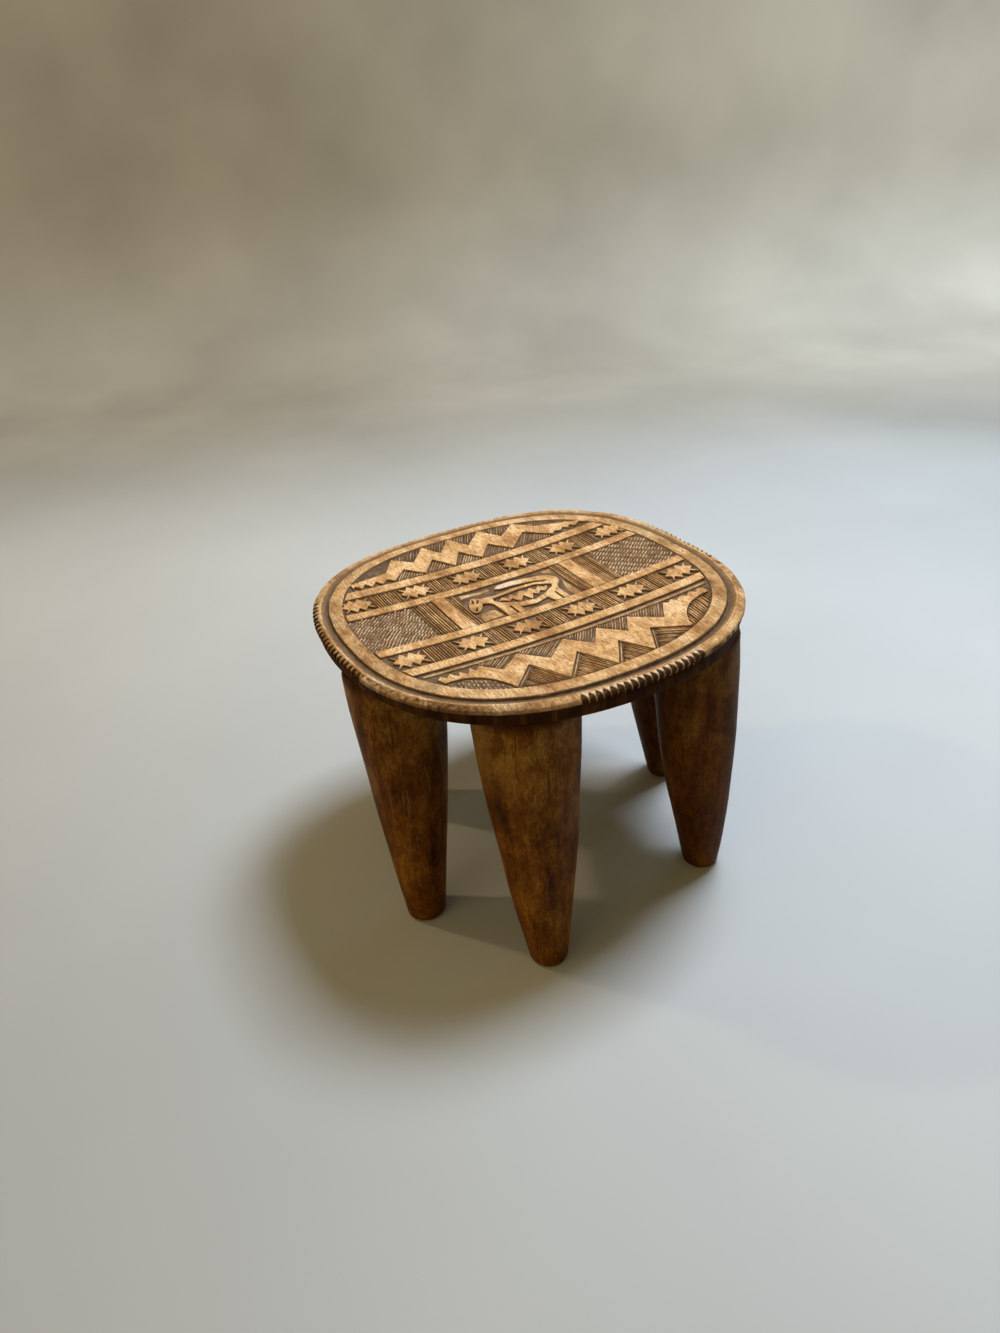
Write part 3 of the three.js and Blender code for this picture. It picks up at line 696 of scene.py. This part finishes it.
# Rows of short slanting dashes, as in a woven basket
def wovenPatch(bm, pick, patch, low, high):
    row, dash = heading(patch["rowTurn"]), heading(patch["dashTurn"])
    square = row.orthogonal()
    middle = Vector(((patch["from"] + patch["to"]) / 2, (low + high) / 2))
    rows, dashes = (int(reach / patch[pitch]) + 1 for reach, pitch in
                    zip(hatching["patchReach"], ("rowPitch", "dashPitch")))
    most = hatching["patchShift"]
    for i in range(-rows, rows + 1):
        shift = pick.random()
        for j in range(-dashes, dashes + 1):
            place = middle + square * i * patch["rowPitch"] + row * (j + shift) * patch["dashPitch"]
            place += Vector((pick.uniform(-most, most), pick.uniform(-most, most)))
            inside = patch["from"] < place.x < patch["to"] and low < place.y < high
            if inside and abs(place.x) < fieldEnd(place.y, hatching["patchMargin"]):
                half = dash * patch["dashLength"] * pick.uniform(*hatching["patchHalf"])
                width = patch["width"] * pick.uniform(*hatching["patchWidth"])
                stroke(bm, place - half, place + half, width, pick, patch["lift"], patch["worn"])


# Hatching in the notches of the two ribbons, along one edge of each notch
def hatchRibbons(bm, pick):
    upper = [fieldPoint(share) for share in nearUpper]
    ridgeLow = relief["thinRidge"]["low"]
    for i in hatching["nearUpper"]:
        triangle = [upper[i + 1], (upper[i + 2][0], ridgeLow), (upper[i][0], ridgeLow)]
        edge = Vector(upper[i + 2]) - Vector(upper[i + 1])
        hatchRegion(bm, pick, triangle, math.degrees(math.atan2(edge.y, edge.x)), **hatching["nearUpperFill"])
    lower = [Vector(fieldPoint(share)) for share in nearLower]
    for i in hatching["nearLower"]:
        rightEdge, leftEdge = lower[i] - lower[i + 1], lower[i + 2] - lower[i + 1]
        inward = leftEdge.orthogonal().normalized()
        gap = inward * hatching["rimGap"]
        stroke(bm, lower[i + 1] + gap, lower[i + 2] + gap, hatching["rimStroke"], pick)
        gap = inward * hatching["edgeGap"]
        triangle = [lower[i], lower[i + 1] + gap, lower[i + 2] + gap]
        turn = math.degrees(math.atan2(rightEdge.y, rightEdge.x))
        hatchRegion(bm, pick, triangle, turn, **hatching["nearLowerFill"])
    steps = hatching["lensSteps"]
    for name, fill in hatching["lenses"].items():
        tip, bend, root = nearLenses[name]
        turns = [math.atan2(y, x) for x, y in (fieldPoint(root), fieldPoint(tip))]
        outside = [outlinePoint(turns[0] + (turns[1] - turns[0]) * k / steps, -rim["grooveWidth"])
                   for k in range(1, steps)]
        lens = lensArc(tip, bend, root) + outside
        hatchRegion(bm, pick, lens, hatching["lensTurn"], width=hatching["lensWidth"], **fill)
    for name, shares in (("farUpper", farUpper), ("farLower", farLower)):
        corners = [fieldPoint(share) for share in shares]
        for i in hatching[name]:
            hatchRegion(bm, pick, corners[i:i + 3], **hatching[name + "Fill"])


def seatHatching(material):
    bm = bmesh.new()
    recessLayer(bm)
    stainLayer(bm)
    pick = random.Random(hatching["seed"])
    straps = [[share * halfWidth for share in strap] for strap in relief["straps"]]
    half, gap = relief["starWidth"] / 2, hatching["starGap"]
    for row, (low, high) in zip(starRows(), ((straps[0][1], straps[1][0]), (straps[2][1], straps[3][0]))):
        edge = fieldEnd((low + high) / 2, rim["grooveWidth"])
        stops = [-edge] + [x for middle in row for x in (middle[0] - half, middle[0] + half)] + [edge]
        for left, right in zip(stops[::2], stops[1::2]):
            hatchColumn(bm, pick, left + gap, right - gap, low, high)
    low, high = straps[1][1], straps[2][0]
    for left, right, lift in hatching["centreColumns"]:
        hatchColumn(bm, pick, left, right, low, high, lift)
    for name in ("leftPatch", "rightPatch"):
        wovenPatch(bm, pick, hatching[name], low, high)
    hatchRibbons(bm, pick)
    piece = finishPiece(bm, "seat_hatching", material, sharpDegrees=50)
    print("gouge strokes:", len(piece.data.polygons), "faces")
    return piece


# Legs: round, tapered, leaning outwards a little, each hewn by hand
legForm = {
    "topRadius": 42, "footRadius": 18, "footEdge": 5, "gap": 0.3, "columns": 72, "rows": 46,
    "topEdge": 2.6, "topRings": (0, 0.5, 0.85), "footRing": 0.6, "arcSteps": 6, "blend": 8,
    # The crease value darkens the rounded top of each leg under the seat: painted shade
    "hewn": 1.1, "hewnWide": 26, "hewnTall": 60, "hewnSeed": 7, "creasePaintedShade": 0.8,
}

# Top and its radius, foot and its radius, taper, and painted shade that darkens the legs standing in shade
legTable = {
    "leg_right": ((0.872, 0.047), 0.869, (1.055, 0.057), 0.933, 1.4, 0.6),
    "leg_back_right": ((0.363, 0.847), 1, (0.426, 0.993), 1, 1.5, 0.2),
    "leg_back_left": ((-0.571, 0.731), 1, (-0.651, 0.806), 1, 1.4, 0.1),
    "leg_left": ((-0.886, -0.119), 0.988, (-0.948, -0.269), 1.017, 1.36, 0.05),
    "leg_front_left": ((-0.454, -0.794), 1.038, (-0.510, -0.996), 0.978, 1.44, 0),
    "leg_front_right": ((0.674, -0.724), 0.893, (0.698, -0.833), 0.933, 2, 0.45),
}


# Rows of a leg from the middle of its top to the middle of its foot: way down, share of the radius, inset
def legRows(topHeight):
    edge, rounding, count = legForm["footEdge"], legForm["topEdge"], legForm["rows"]
    arc = [math.radians(90 / legForm["arcSteps"] * k) for k in range(legForm["arcSteps"] + 1)]
    tall = topHeight - edge
    levels = [(0, share, 0) for share in legForm["topRings"]]
    levels += [(rounding * (1 - math.cos(turn)), 1, -rounding * (1 - math.sin(turn))) for turn in arc]
    levels += [(rounding + (tall - rounding) * k / count, 1, 0) for k in range(1, count + 1)]
    levels += [(tall + edge * math.sin(turn), 1, -edge * (1 - math.cos(turn))) for turn in arc[1:]]
    return levels + [(topHeight, legForm["footRing"], -edge), (topHeight, 0, 0)]


def legBody(node, material):
    topShares, topShare, footShares, footShare, power, shade = legTable[node]
    top, foot = Vector(fieldPoint(topShares)), Vector(fieldPoint(footShares))
    topRadius, footRadius = legForm["topRadius"] * topShare, legForm["footRadius"] * footShare
    topHeight = surfaceHeight(top.x, top.y, seatForm["thickness"]) - legForm["gap"]
    tall, fitted = topHeight - legForm["footEdge"], legForm["topEdge"] + legForm["blend"]
    levels = legRows(topHeight)
    bm, places = tubeGrid(legForm["columns"], len(levels))
    recessAt, stainAt = recessLayer(bm), stainLayer(bm)
    for vert, column, row in places:
        down, share, inset = levels[row]
        t = min(1, down / tall)
        middle = top.lerp(foot, t)
        turn = (column % legForm["columns"]) / legForm["columns"] * 2 * math.pi
        radius = topRadius + (footRadius - topRadius) * t ** power
        c, s = math.cos(turn), math.sin(turn)
        place = Vector((c * radius / legForm["hewnWide"], s * radius / legForm["hewnWide"],
                        down / legForm["hewnTall"] + legForm["hewnSeed"] * len(node)))
        hewn = legForm["hewn"] * max(0, 0.5 + noise.noise(place)) * min(1, down / legForm["blend"])
        radius = (radius + inset - hewn) * share
        x, y = middle.x + c * radius, middle.y + s * radius
        height = topHeight - down
        if down < fitted:
            under = surfaceHeight(x, y, seatForm["thickness"]) - legForm["gap"]
            height += (under - topHeight) * (1 - down / fitted)
        vert.co = (x, y, max(0, height))
        # Painted shade: the crease under the seat, and each leg's own painted shade below it
        vert[recessAt] = legForm["creasePaintedShade"] if down < legForm["topEdge"] else shade
        vert[stainAt] = 1
    bmesh.ops.remove_doubles(bm, verts=bm.verts, dist=weldDistance)
    piece = finishPiece(bm, node + "_body", material, sharpDegrees=60)
    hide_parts(node)
    return piece


# Materials
woodTone = {
    "topDark": (0.43, 0.22, 0.09, 1), "topMiddle": (0.74, 0.425, 0.19, 1), "topLight": (0.95, 0.63, 0.34, 1),
    # worn: pale of rubbed wood, also used for painted highlights
    "fleck": (0.22, 0.088, 0.022, 1), "worn": (0.95, 0.76, 0.6, 1),
    "groundDark": (0.084, 0.05, 0.027, 1), "groundLight": (0.245, 0.158, 0.101, 1),
    # Rim colours for dark and handled wood; on the skirt and underside they are painted shade
    "rimDark": (0.018, 0.005, 0.001, 1), "rimStain": (0.038, 0.012, 0.001, 1),
    "rimLight": (0.11, 0.04, 0.005, 1),
    "legDark": (0.036, 0.008, 0.0005, 1), "legMiddle": (0.15, 0.05, 0.004, 1),
    "legLight": (0.32, 0.122, 0.015, 1), "legTop": (0.275, 0.145, 0.024, 1),
    "check": (0.015, 0.006, 0.002, 1), "scratch": (0.42, 0.3, 0.18, 1),
}


def addNode(tree, kind, inputs=None, **settings):
    made = tree.nodes.new(kind)
    for key, value in settings.items():
        setattr(made, key, value)
    for socket, value in (inputs or {}).items():
        if isinstance(value, bpy.types.NodeSocket):
            tree.links.new(value, made.inputs[socket])
        else:
            made.inputs[socket].default_value = value
    return made


def startMaterial(name):
    material = bpy.data.materials.new(name)
    material.use_nodes = True
    tree = material.node_tree
    tree.nodes.clear()
    shader = addNode(tree, "ShaderNodeBsdfPrincipled")
    output = addNode(tree, "ShaderNodeOutputMaterial")
    tree.links.new(shader.outputs["BSDF"], output.inputs["Surface"])
    return material, tree, shader, addNode(tree, "ShaderNodeTexCoord").outputs["Object"]


# Noise with so many cells to the metre along X, Y and Z
def stretchedNoise(tree, place, cells, detail, roughness):
    scaled = addNode(tree, "ShaderNodeMapping", {"Vector": place, "Scale": cells}).outputs["Vector"]
    inputs = {"Vector": scaled, "Scale": 1.0, "Detail": detail, "Roughness": roughness}
    return addNode(tree, "ShaderNodeTexNoise", inputs).outputs["Fac"]


def ramp(tree, value, stops):
    made = addNode(tree, "ShaderNodeValToRGB", {"Fac": value})
    elements = made.color_ramp.elements
    while len(elements) < len(stops):
        elements.new(0.5)
    for element, (position, colour) in zip(elements, stops):
        element.position = position
        element.color = colour if isinstance(colour, tuple) else (colour, colour, colour, 1)
    return made.outputs["Color"]


def toneRamp(tree, value, positions, *names):
    return ramp(tree, value, [(position, woodTone[name]) for position, name in zip(positions, names)])


def mixColour(tree, share, first, second, mode="MIX"):
    inputs = {0: share, 6: first, 7: second}
    return addNode(tree, "ShaderNodeMix", inputs, data_type="RGBA", blend_type=mode).outputs[2]


def compute(tree, operation, first, second, clamp=False):
    inputs = {0: first, 1: second}
    return addNode(tree, "ShaderNodeMath", inputs, operation=operation, use_clamp=clamp).outputs["Value"]


# Sum of values, each times its weight
def weighted(tree, *pairs):
    total = None
    for value, weight in pairs:
        part = compute(tree, "MULTIPLY", value, weight)
        total = part if total is None else compute(tree, "ADD", total, part)
    return total


def vertexValue(tree, name):
    return addNode(tree, "ShaderNodeAttribute", attribute_name=name).outputs["Fac"]


# Colour, roughness and bumps of a wood on its shader
def finishWood(tree, shader, finish, colour, rough, *bumps):
    strength, distance = finish["bump"]
    inputs = {"Strength": strength, "Distance": distance, "Height": weighted(tree, *bumps)}
    bump = addNode(tree, "ShaderNodeBump", inputs)
    tree.links.new(colour, shader.inputs["Base Color"])
    tree.links.new(ramp(tree, rough, finish["roughTone"]), shader.inputs["Roughness"])
    tree.links.new(bump.outputs["Normal"], shader.inputs["Normal"])
    shader.inputs["Specular IOR Level"].default_value = finish["specular"]


# Each noise is its cells to the metre, detail and roughness. A tone is the stops of a ramp.
carvedFinish = {
    "patches": ((48, 26, 48), 7, 0.68), "patchStops": (0.37, 0.49, 0.61),
    "grain": ((850, 100, 850), 4, 0.65), "grainTone": ((0.36, 0.6), (0.52, 1.0), (0.68, 1.12)),
    "flecks": (((1150, 210, 1150), 2.5, 0.6), ((0.54, 0.0), (0.61, 0.55))),
    "spots": (((560, 150, 560), 4, 0.68), ((0.56, 0.0), (0.63, 0.5))),
    "pores": (((1500, 230, 1500), 1.5, 0.5), ((0.6, 0.0), (0.7, 0.55))),
    "mottle": ((150, 90, 150), 4, 0.7), "groundStops": (0.32, 0.7),
    "polishTone": ((0.4, 0.5), (0.56, 1.0)), "polishShare": -1.1,
    "ragged": 0.5, "deepTone": ((0.12, 0.0), (0.72, 1.0)),
    "streaks": ((90, 90, 14), 4, 0.6), "streakStops": (0.3, 0.5, 0.75),
    "grainRough": 0.2, "roughTone": ((0.1, 0.42), (0.9, 0.74)), "specular": 0.03,
    "grainHeight": 0.6, "poreHeight": -0.8, "mottleHeight": 1.2, "bump": (0.55, 0.0006),
}


def carvedWood():
    material, tree, shader, place = startMaterial("carved_wood")
    tone, finish = woodTone, carvedFinish
    recess, stain = vertexValue(tree, "recess"), vertexValue(tree, "stain")
    patches, grain, mottle, streaks = (stretchedNoise(tree, place, *finish[name])
                                       for name in ("patches", "grain", "mottle", "streaks"))
    top = toneRamp(tree, patches, finish["patchStops"], "topDark", "topMiddle", "topLight")
    top = mixColour(tree, 1.0, top, ramp(tree, grain, finish["grainTone"]), "MULTIPLY")
    for name in ("flecks", "spots", "pores"):
        cells, stops = finish[name]
        marks = ramp(tree, stretchedNoise(tree, place, *cells), stops)
        top = mixColour(tree, marks, top, tone["fleck"])
    pores = marks
    ground = toneRamp(tree, mottle, finish["groundStops"], "groundDark", "groundLight")
    # Rubbed places have a recess below zero, and so have the painted highlights on the flute crests, the
    # animal's tail and some gouge crests
    polish = compute(tree, "MULTIPLY", recess, ramp(tree, grain, finish["polishTone"]))
    worn = compute(tree, "MULTIPLY", polish, finish["polishShare"], clamp=True)
    top = mixColour(tree, worn, top, tone["worn"])
    edge = compute(tree, "MULTIPLY", compute(tree, "SUBTRACT", mottle, 0.5), finish["ragged"])
    colour = mixColour(tree, ramp(tree, compute(tree, "ADD", recess, edge), finish["deepTone"]), top, ground)
    # Dark handled wood by the stain value, and painted shade on the skirt and underside
    handled = toneRamp(tree, streaks, finish["streakStops"], "rimDark", "rimStain", "rimLight")
    colour = mixColour(tree, stain, colour, handled)
    rough = compute(tree, "ADD", recess, compute(tree, "MULTIPLY", grain, finish["grainRough"]))
    finishWood(tree, shader, finish, colour, rough, (grain, finish["grainHeight"]),
               (pores, finish["poreHeight"]), (mottle, finish["mottleHeight"]))
    return material


legFinish = {
    "streaks": ((110, 110, 9), 6, 0.68), "streakShare": 0.3,
    "mottle": ((40, 40, 22), 8, 0.7), "mottleShare": 0.7,
    "stops": (0.36, 0.5, 0.64),
    "topFrom": 0.12, "topFull": 0.235, "topTone": ((0.46, 0.1), (0.58, 1.0)), "topShare": 0.7,
    "fine": ((700, 700, 240), 5, 0.72), "fineTone": ((0.36, 0.55), (0.5, 0.96), (0.64, 1.35)),
    "checks": (((420, 420, 12), 2, 0.5), ((0.66, 0.0), (0.71, 0.6))),
    "scratches": (((1300, 1300, 16), 1, 0.5), ((0.735, 0.0), (0.77, 0.5))),
    "roughTone": ((0.3, 0.38), (0.7, 0.55)), "specular": 0.04,
    "streakHeight": 1.2, "fineHeight": 0.35, "checkHeight": -1, "bump": (0.5, 0.0007),
}


def legWood():
    material, tree, shader, place = startMaterial("leg_wood")
    tone, finish = woodTone, legFinish
    streaks, mottle, fine = (stretchedNoise(tree, place, *finish[name])
                             for name in ("streaks", "mottle", "fine"))
    checks, scratches = (ramp(tree, stretchedNoise(tree, place, *cells), stops)
                         for cells, stops in (finish["checks"], finish["scratches"]))
    value = weighted(tree, (streaks, finish["streakShare"]), (mottle, finish["mottleShare"]))
    colour = toneRamp(tree, value, finish["stops"], "legDark", "legMiddle", "legLight")
    height = addNode(tree, "ShaderNodeSeparateXYZ", {"Vector": place}).outputs["Z"]
    inputs = {"Value": height, "From Min": finish["topFrom"], "From Max": finish["topFull"]}
    nearTop = addNode(tree, "ShaderNodeMapRange", inputs).outputs["Result"]
    share = compute(tree, "MULTIPLY", nearTop, ramp(tree, mottle, finish["topTone"]))
    colour = mixColour(tree, compute(tree, "MULTIPLY", share, finish["topShare"]), colour, tone["legTop"])
    colour = mixColour(tree, 1.0, colour, ramp(tree, fine, finish["fineTone"]), "MULTIPLY")
    colour = mixColour(tree, checks, colour, tone["check"])
    colour = mixColour(tree, scratches, colour, tone["scratch"])
    # Painted shade from the recess value: the crease under the seat and the legs standing in shade
    colour = mixColour(tree, vertexValue(tree, "recess"), colour, tone["legDark"])
    finishWood(tree, shader, finish, colour, fine, (streaks, finish["streakHeight"]),
               (fine, finish["fineHeight"]), (checks, finish["checkHeight"]))
    return material


carved = carvedWood()
seatBody(carved)
seatRelief(carved)
seatHatching(carved)
legDarkWood = legWood()
for node in legTable:
    legBody(node, legDarkWood)
print("legs:", len(legTable))


# Floor that sweeps up into a pale backdrop far behind the stool. Ranges are metres ahead, to the right or up.
studio = {
    "halfWidth": 4.5, "front": -4.0, "sweepStart": 1.75, "sweepRadius": 0.6, "top": 3.2,
    "away": (0.443, 0.897), "rows": 60,
    # Floor colours: painted light, darker at the near left and brighter to the right and the back
    "nearLeft": (0.44, 0.45, 0.46, 1), "nearRight": (0.66, 0.7, 0.76, 1),
    "backLeft": (0.68, 0.69, 0.7, 1), "backRight": (0.6, 0.64, 0.7, 1),
    # Backdrop colours, seen glowing by the camera: painted light, darker upward and to the left
    "wallLow": (0.33, 0.29, 0.215, 1), "wallHigh": (0.245, 0.205, 0.13, 1),
    "wallLowRight": (0.66, 0.68, 0.62, 1), "wallHighRight": (0.45, 0.435, 0.36, 1),
    "floorRight": (-0.6, 0.75), "floorAhead": (-0.2, 0.9), "wallRight": (-0.9, 1.7), "wallUp": (0.02, 0.5),
    "glowAhead": (0.75, 1.75), "blotches": ((2.2, 2.2, 2.2), 3, 0.5), "blotchTone": ((0.3, 0.86), (0.7, 1.1)),
    "blotchShare": 0.35, "roughness": 0.9, "specular": 0.1,
}


def smoothShare(tree, value, limits):
    inputs = {"Value": value, "From Min": limits[0], "From Max": limits[1]}
    return addNode(tree, "ShaderNodeMapRange", inputs, interpolation_type="SMOOTHSTEP").outputs["Result"]


# One where the camera, a reflection or glass sees the surface, none where it lights others
def seenDirectly(tree):
    rays = addNode(tree, "ShaderNodeLightPath").outputs
    seen = compute(tree, "MAXIMUM", rays["Is Camera Ray"], rays["Is Glossy Ray"])
    return compute(tree, "MAXIMUM", seen, rays["Is Transmission Ray"])


def paleFloor(away, side):
    material, tree, shader, place = startMaterial("pale_floor")
    parts = addNode(tree, "ShaderNodeSeparateXYZ", {"Vector": place}).outputs
    ahead = weighted(tree, (parts["X"], away.x), (parts["Y"], away.y))
    right = weighted(tree, (parts["X"], side.x), (parts["Y"], side.y))
    # Painted light across the floor
    toRight = smoothShare(tree, right, studio["floorRight"])
    near = mixColour(tree, toRight, studio["nearLeft"], studio["nearRight"])
    back = mixColour(tree, toRight, studio["backLeft"], studio["backRight"])
    near = mixColour(tree, smoothShare(tree, ahead, studio["floorAhead"]), near, back)
    blotches = ramp(tree, stretchedNoise(tree, place, *studio["blotches"]), studio["blotchTone"])
    near = mixColour(tree, studio["blotchShare"], near, mixColour(tree, 1.0, near, blotches, "MULTIPLY"))
    tree.links.new(near, shader.inputs["Base Color"])
    # Painted light on the glowing backdrop: darker upward and to the left
    high = smoothShare(tree, parts["Z"], studio["wallUp"])
    wallLeft = mixColour(tree, high, studio["wallLow"], studio["wallHigh"])
    wallRight = mixColour(tree, high, studio["wallLowRight"], studio["wallHighRight"])
    wall = mixColour(tree, smoothShare(tree, right, studio["wallRight"]), wallLeft, wallRight)
    wall = mixColour(tree, 1.0, wall, blotches, "MULTIPLY")
    glow = addNode(tree, "ShaderNodeEmission", {"Color": wall, "Strength": 1.0}).outputs["Emission"]
    share = compute(tree, "MULTIPLY", seenDirectly(tree), smoothShare(tree, ahead, studio["glowAhead"]))
    mixed = addNode(tree, "ShaderNodeMixShader", {0: share, 1: shader.outputs["BSDF"], 2: glow})
    output = next(node for node in tree.nodes if node.type == "OUTPUT_MATERIAL")
    tree.links.new(mixed.outputs[0], output.inputs["Surface"])
    shader.inputs["Roughness"].default_value = studio["roughness"]
    shader.inputs["Specular IOR Level"].default_value = studio["specular"]
    return material


def floorSweep():
    bm = bmesh.new()
    bmesh.ops.create_grid(bm, x_segments=2, y_segments=studio["rows"], size=1)
    away = Vector(studio["away"])
    side = Vector((away.y, -away.x))
    radius, start = studio["sweepRadius"], studio["sweepStart"]
    bend = radius * math.pi / 2
    whole = start - studio["front"] + bend + studio["top"]
    for vert in bm.verts:
        along = studio["front"] + (vert.co.y + 1) / 2 * whole
        turn = min(max(along - start, 0), bend) / radius
        place = away * (min(along, start) + radius * math.sin(turn)) + side * vert.co.x * studio["halfWidth"]
        vert.co = (place.x, place.y, radius * (1 - math.cos(turn)) + max(0, along - start - bend))
    bmesh.ops.recalc_face_normals(bm, faces=bm.faces)
    placeMesh(bm, "floor", paleFloor(away, side))
    print("floor and backdrop")


lighting = {
    "key": {"at": (0.58, 0.08, 1.9), "size": 0.52, "power": 34.5, "colour": (0.84, 0.93, 1.0)},
    "warm": {"at": (-0.8, 0.745, 1.2), "size": 0.06, "power": 3.1, "colour": (1.0, 0.75, 0.44)},
    "side": {"at": (1.3, 0.45, 0.5), "size": 0.5, "power": 1.3, "colour": (0.85, 0.95, 1.0)},
    "front": {"at": (-1.5, -0.5, 0.9), "size": 1.2, "power": 3.7, "colour": (1.0, 0.8, 0.46)},
    "target": (0, 0, 0.22), "ambient": (1.0, 0.74, 0.26, 1), "ambientLeast": 0.02, "ambientMost": 0.27,
    "openSide": (-0.58, 0.32, 0.75), "beyond": (0.36, 0.32, 0.24, 1),
}


def areaLamp(name):
    setting = lighting[name]
    lamp = bpy.data.lights.new(name, "AREA")
    lamp.size = setting["size"]
    lamp.energy = setting["power"]
    lamp.color = setting["colour"]
    holder = bpy.data.objects.new(name, lamp)
    holder.location = setting["at"]
    aim = Vector(lighting["target"]) - Vector(setting["at"])
    holder.rotation_euler = aim.to_track_quat("-Z", "Y").to_euler()
    bpy.context.scene.collection.objects.link(holder)


def worldLight():
    world = bpy.data.worlds.new("studio")
    world.use_nodes = True
    tree = world.node_tree
    tree.nodes.clear()
    place = addNode(tree, "ShaderNodeTexCoord").outputs["Generated"]
    inputs = {0: place, 1: lighting["openSide"]}
    towards = addNode(tree, "ShaderNodeVectorMath", inputs, operation="DOT_PRODUCT").outputs["Value"]
    inputs = {"Value": towards, "From Min": -1.0, "From Max": 1.0,
              "To Min": lighting["ambientLeast"], "To Max": lighting["ambientMost"]}
    strength = addNode(tree, "ShaderNodeMapRange", inputs).outputs["Result"]
    fill = addNode(tree, "ShaderNodeBackground", {"Color": lighting["ambient"], "Strength": strength})
    seen = addNode(tree, "ShaderNodeBackground", {"Color": lighting["beyond"], "Strength": 1.0})
    mix = addNode(tree, "ShaderNodeMixShader", {0: seenDirectly(tree), 1: fill.outputs[0], 2: seen.outputs[0]})
    output = addNode(tree, "ShaderNodeOutputWorld")
    tree.links.new(mix.outputs[0], output.inputs["Surface"])
    bpy.context.scene.world = world


floorSweep()
for name in ("key", "front", "warm", "side"):
    areaLamp(name)
worldLight()
print("lamps and world")


view = {
    "location": (-0.352, -0.6521, 0.6369), "lens": 26.0, "sensor": 36.0, "clipEnd": 50,
    "right": (0.8738, -0.481, -0.0712), "up": (0.3026, 0.4233, 0.854), "back": (-0.3806, -0.7678, 0.5154),
}
camera = bpy.data.cameras.new("camera")
camera.sensor_width = view["sensor"]
camera.lens = view["lens"]
camera.clip_end = view["clipEnd"]
cameraHolder = bpy.data.objects.new("camera", camera)
cameraHolder.matrix_world = (Matrix.Translation(view["location"])
                             @ Matrix((view["right"], view["up"], view["back"])).transposed().to_4x4())
bpy.context.scene.collection.objects.link(cameraHolder)
bpy.context.scene.camera = cameraHolder
bpy.context.scene.view_settings.view_transform = "Standard"
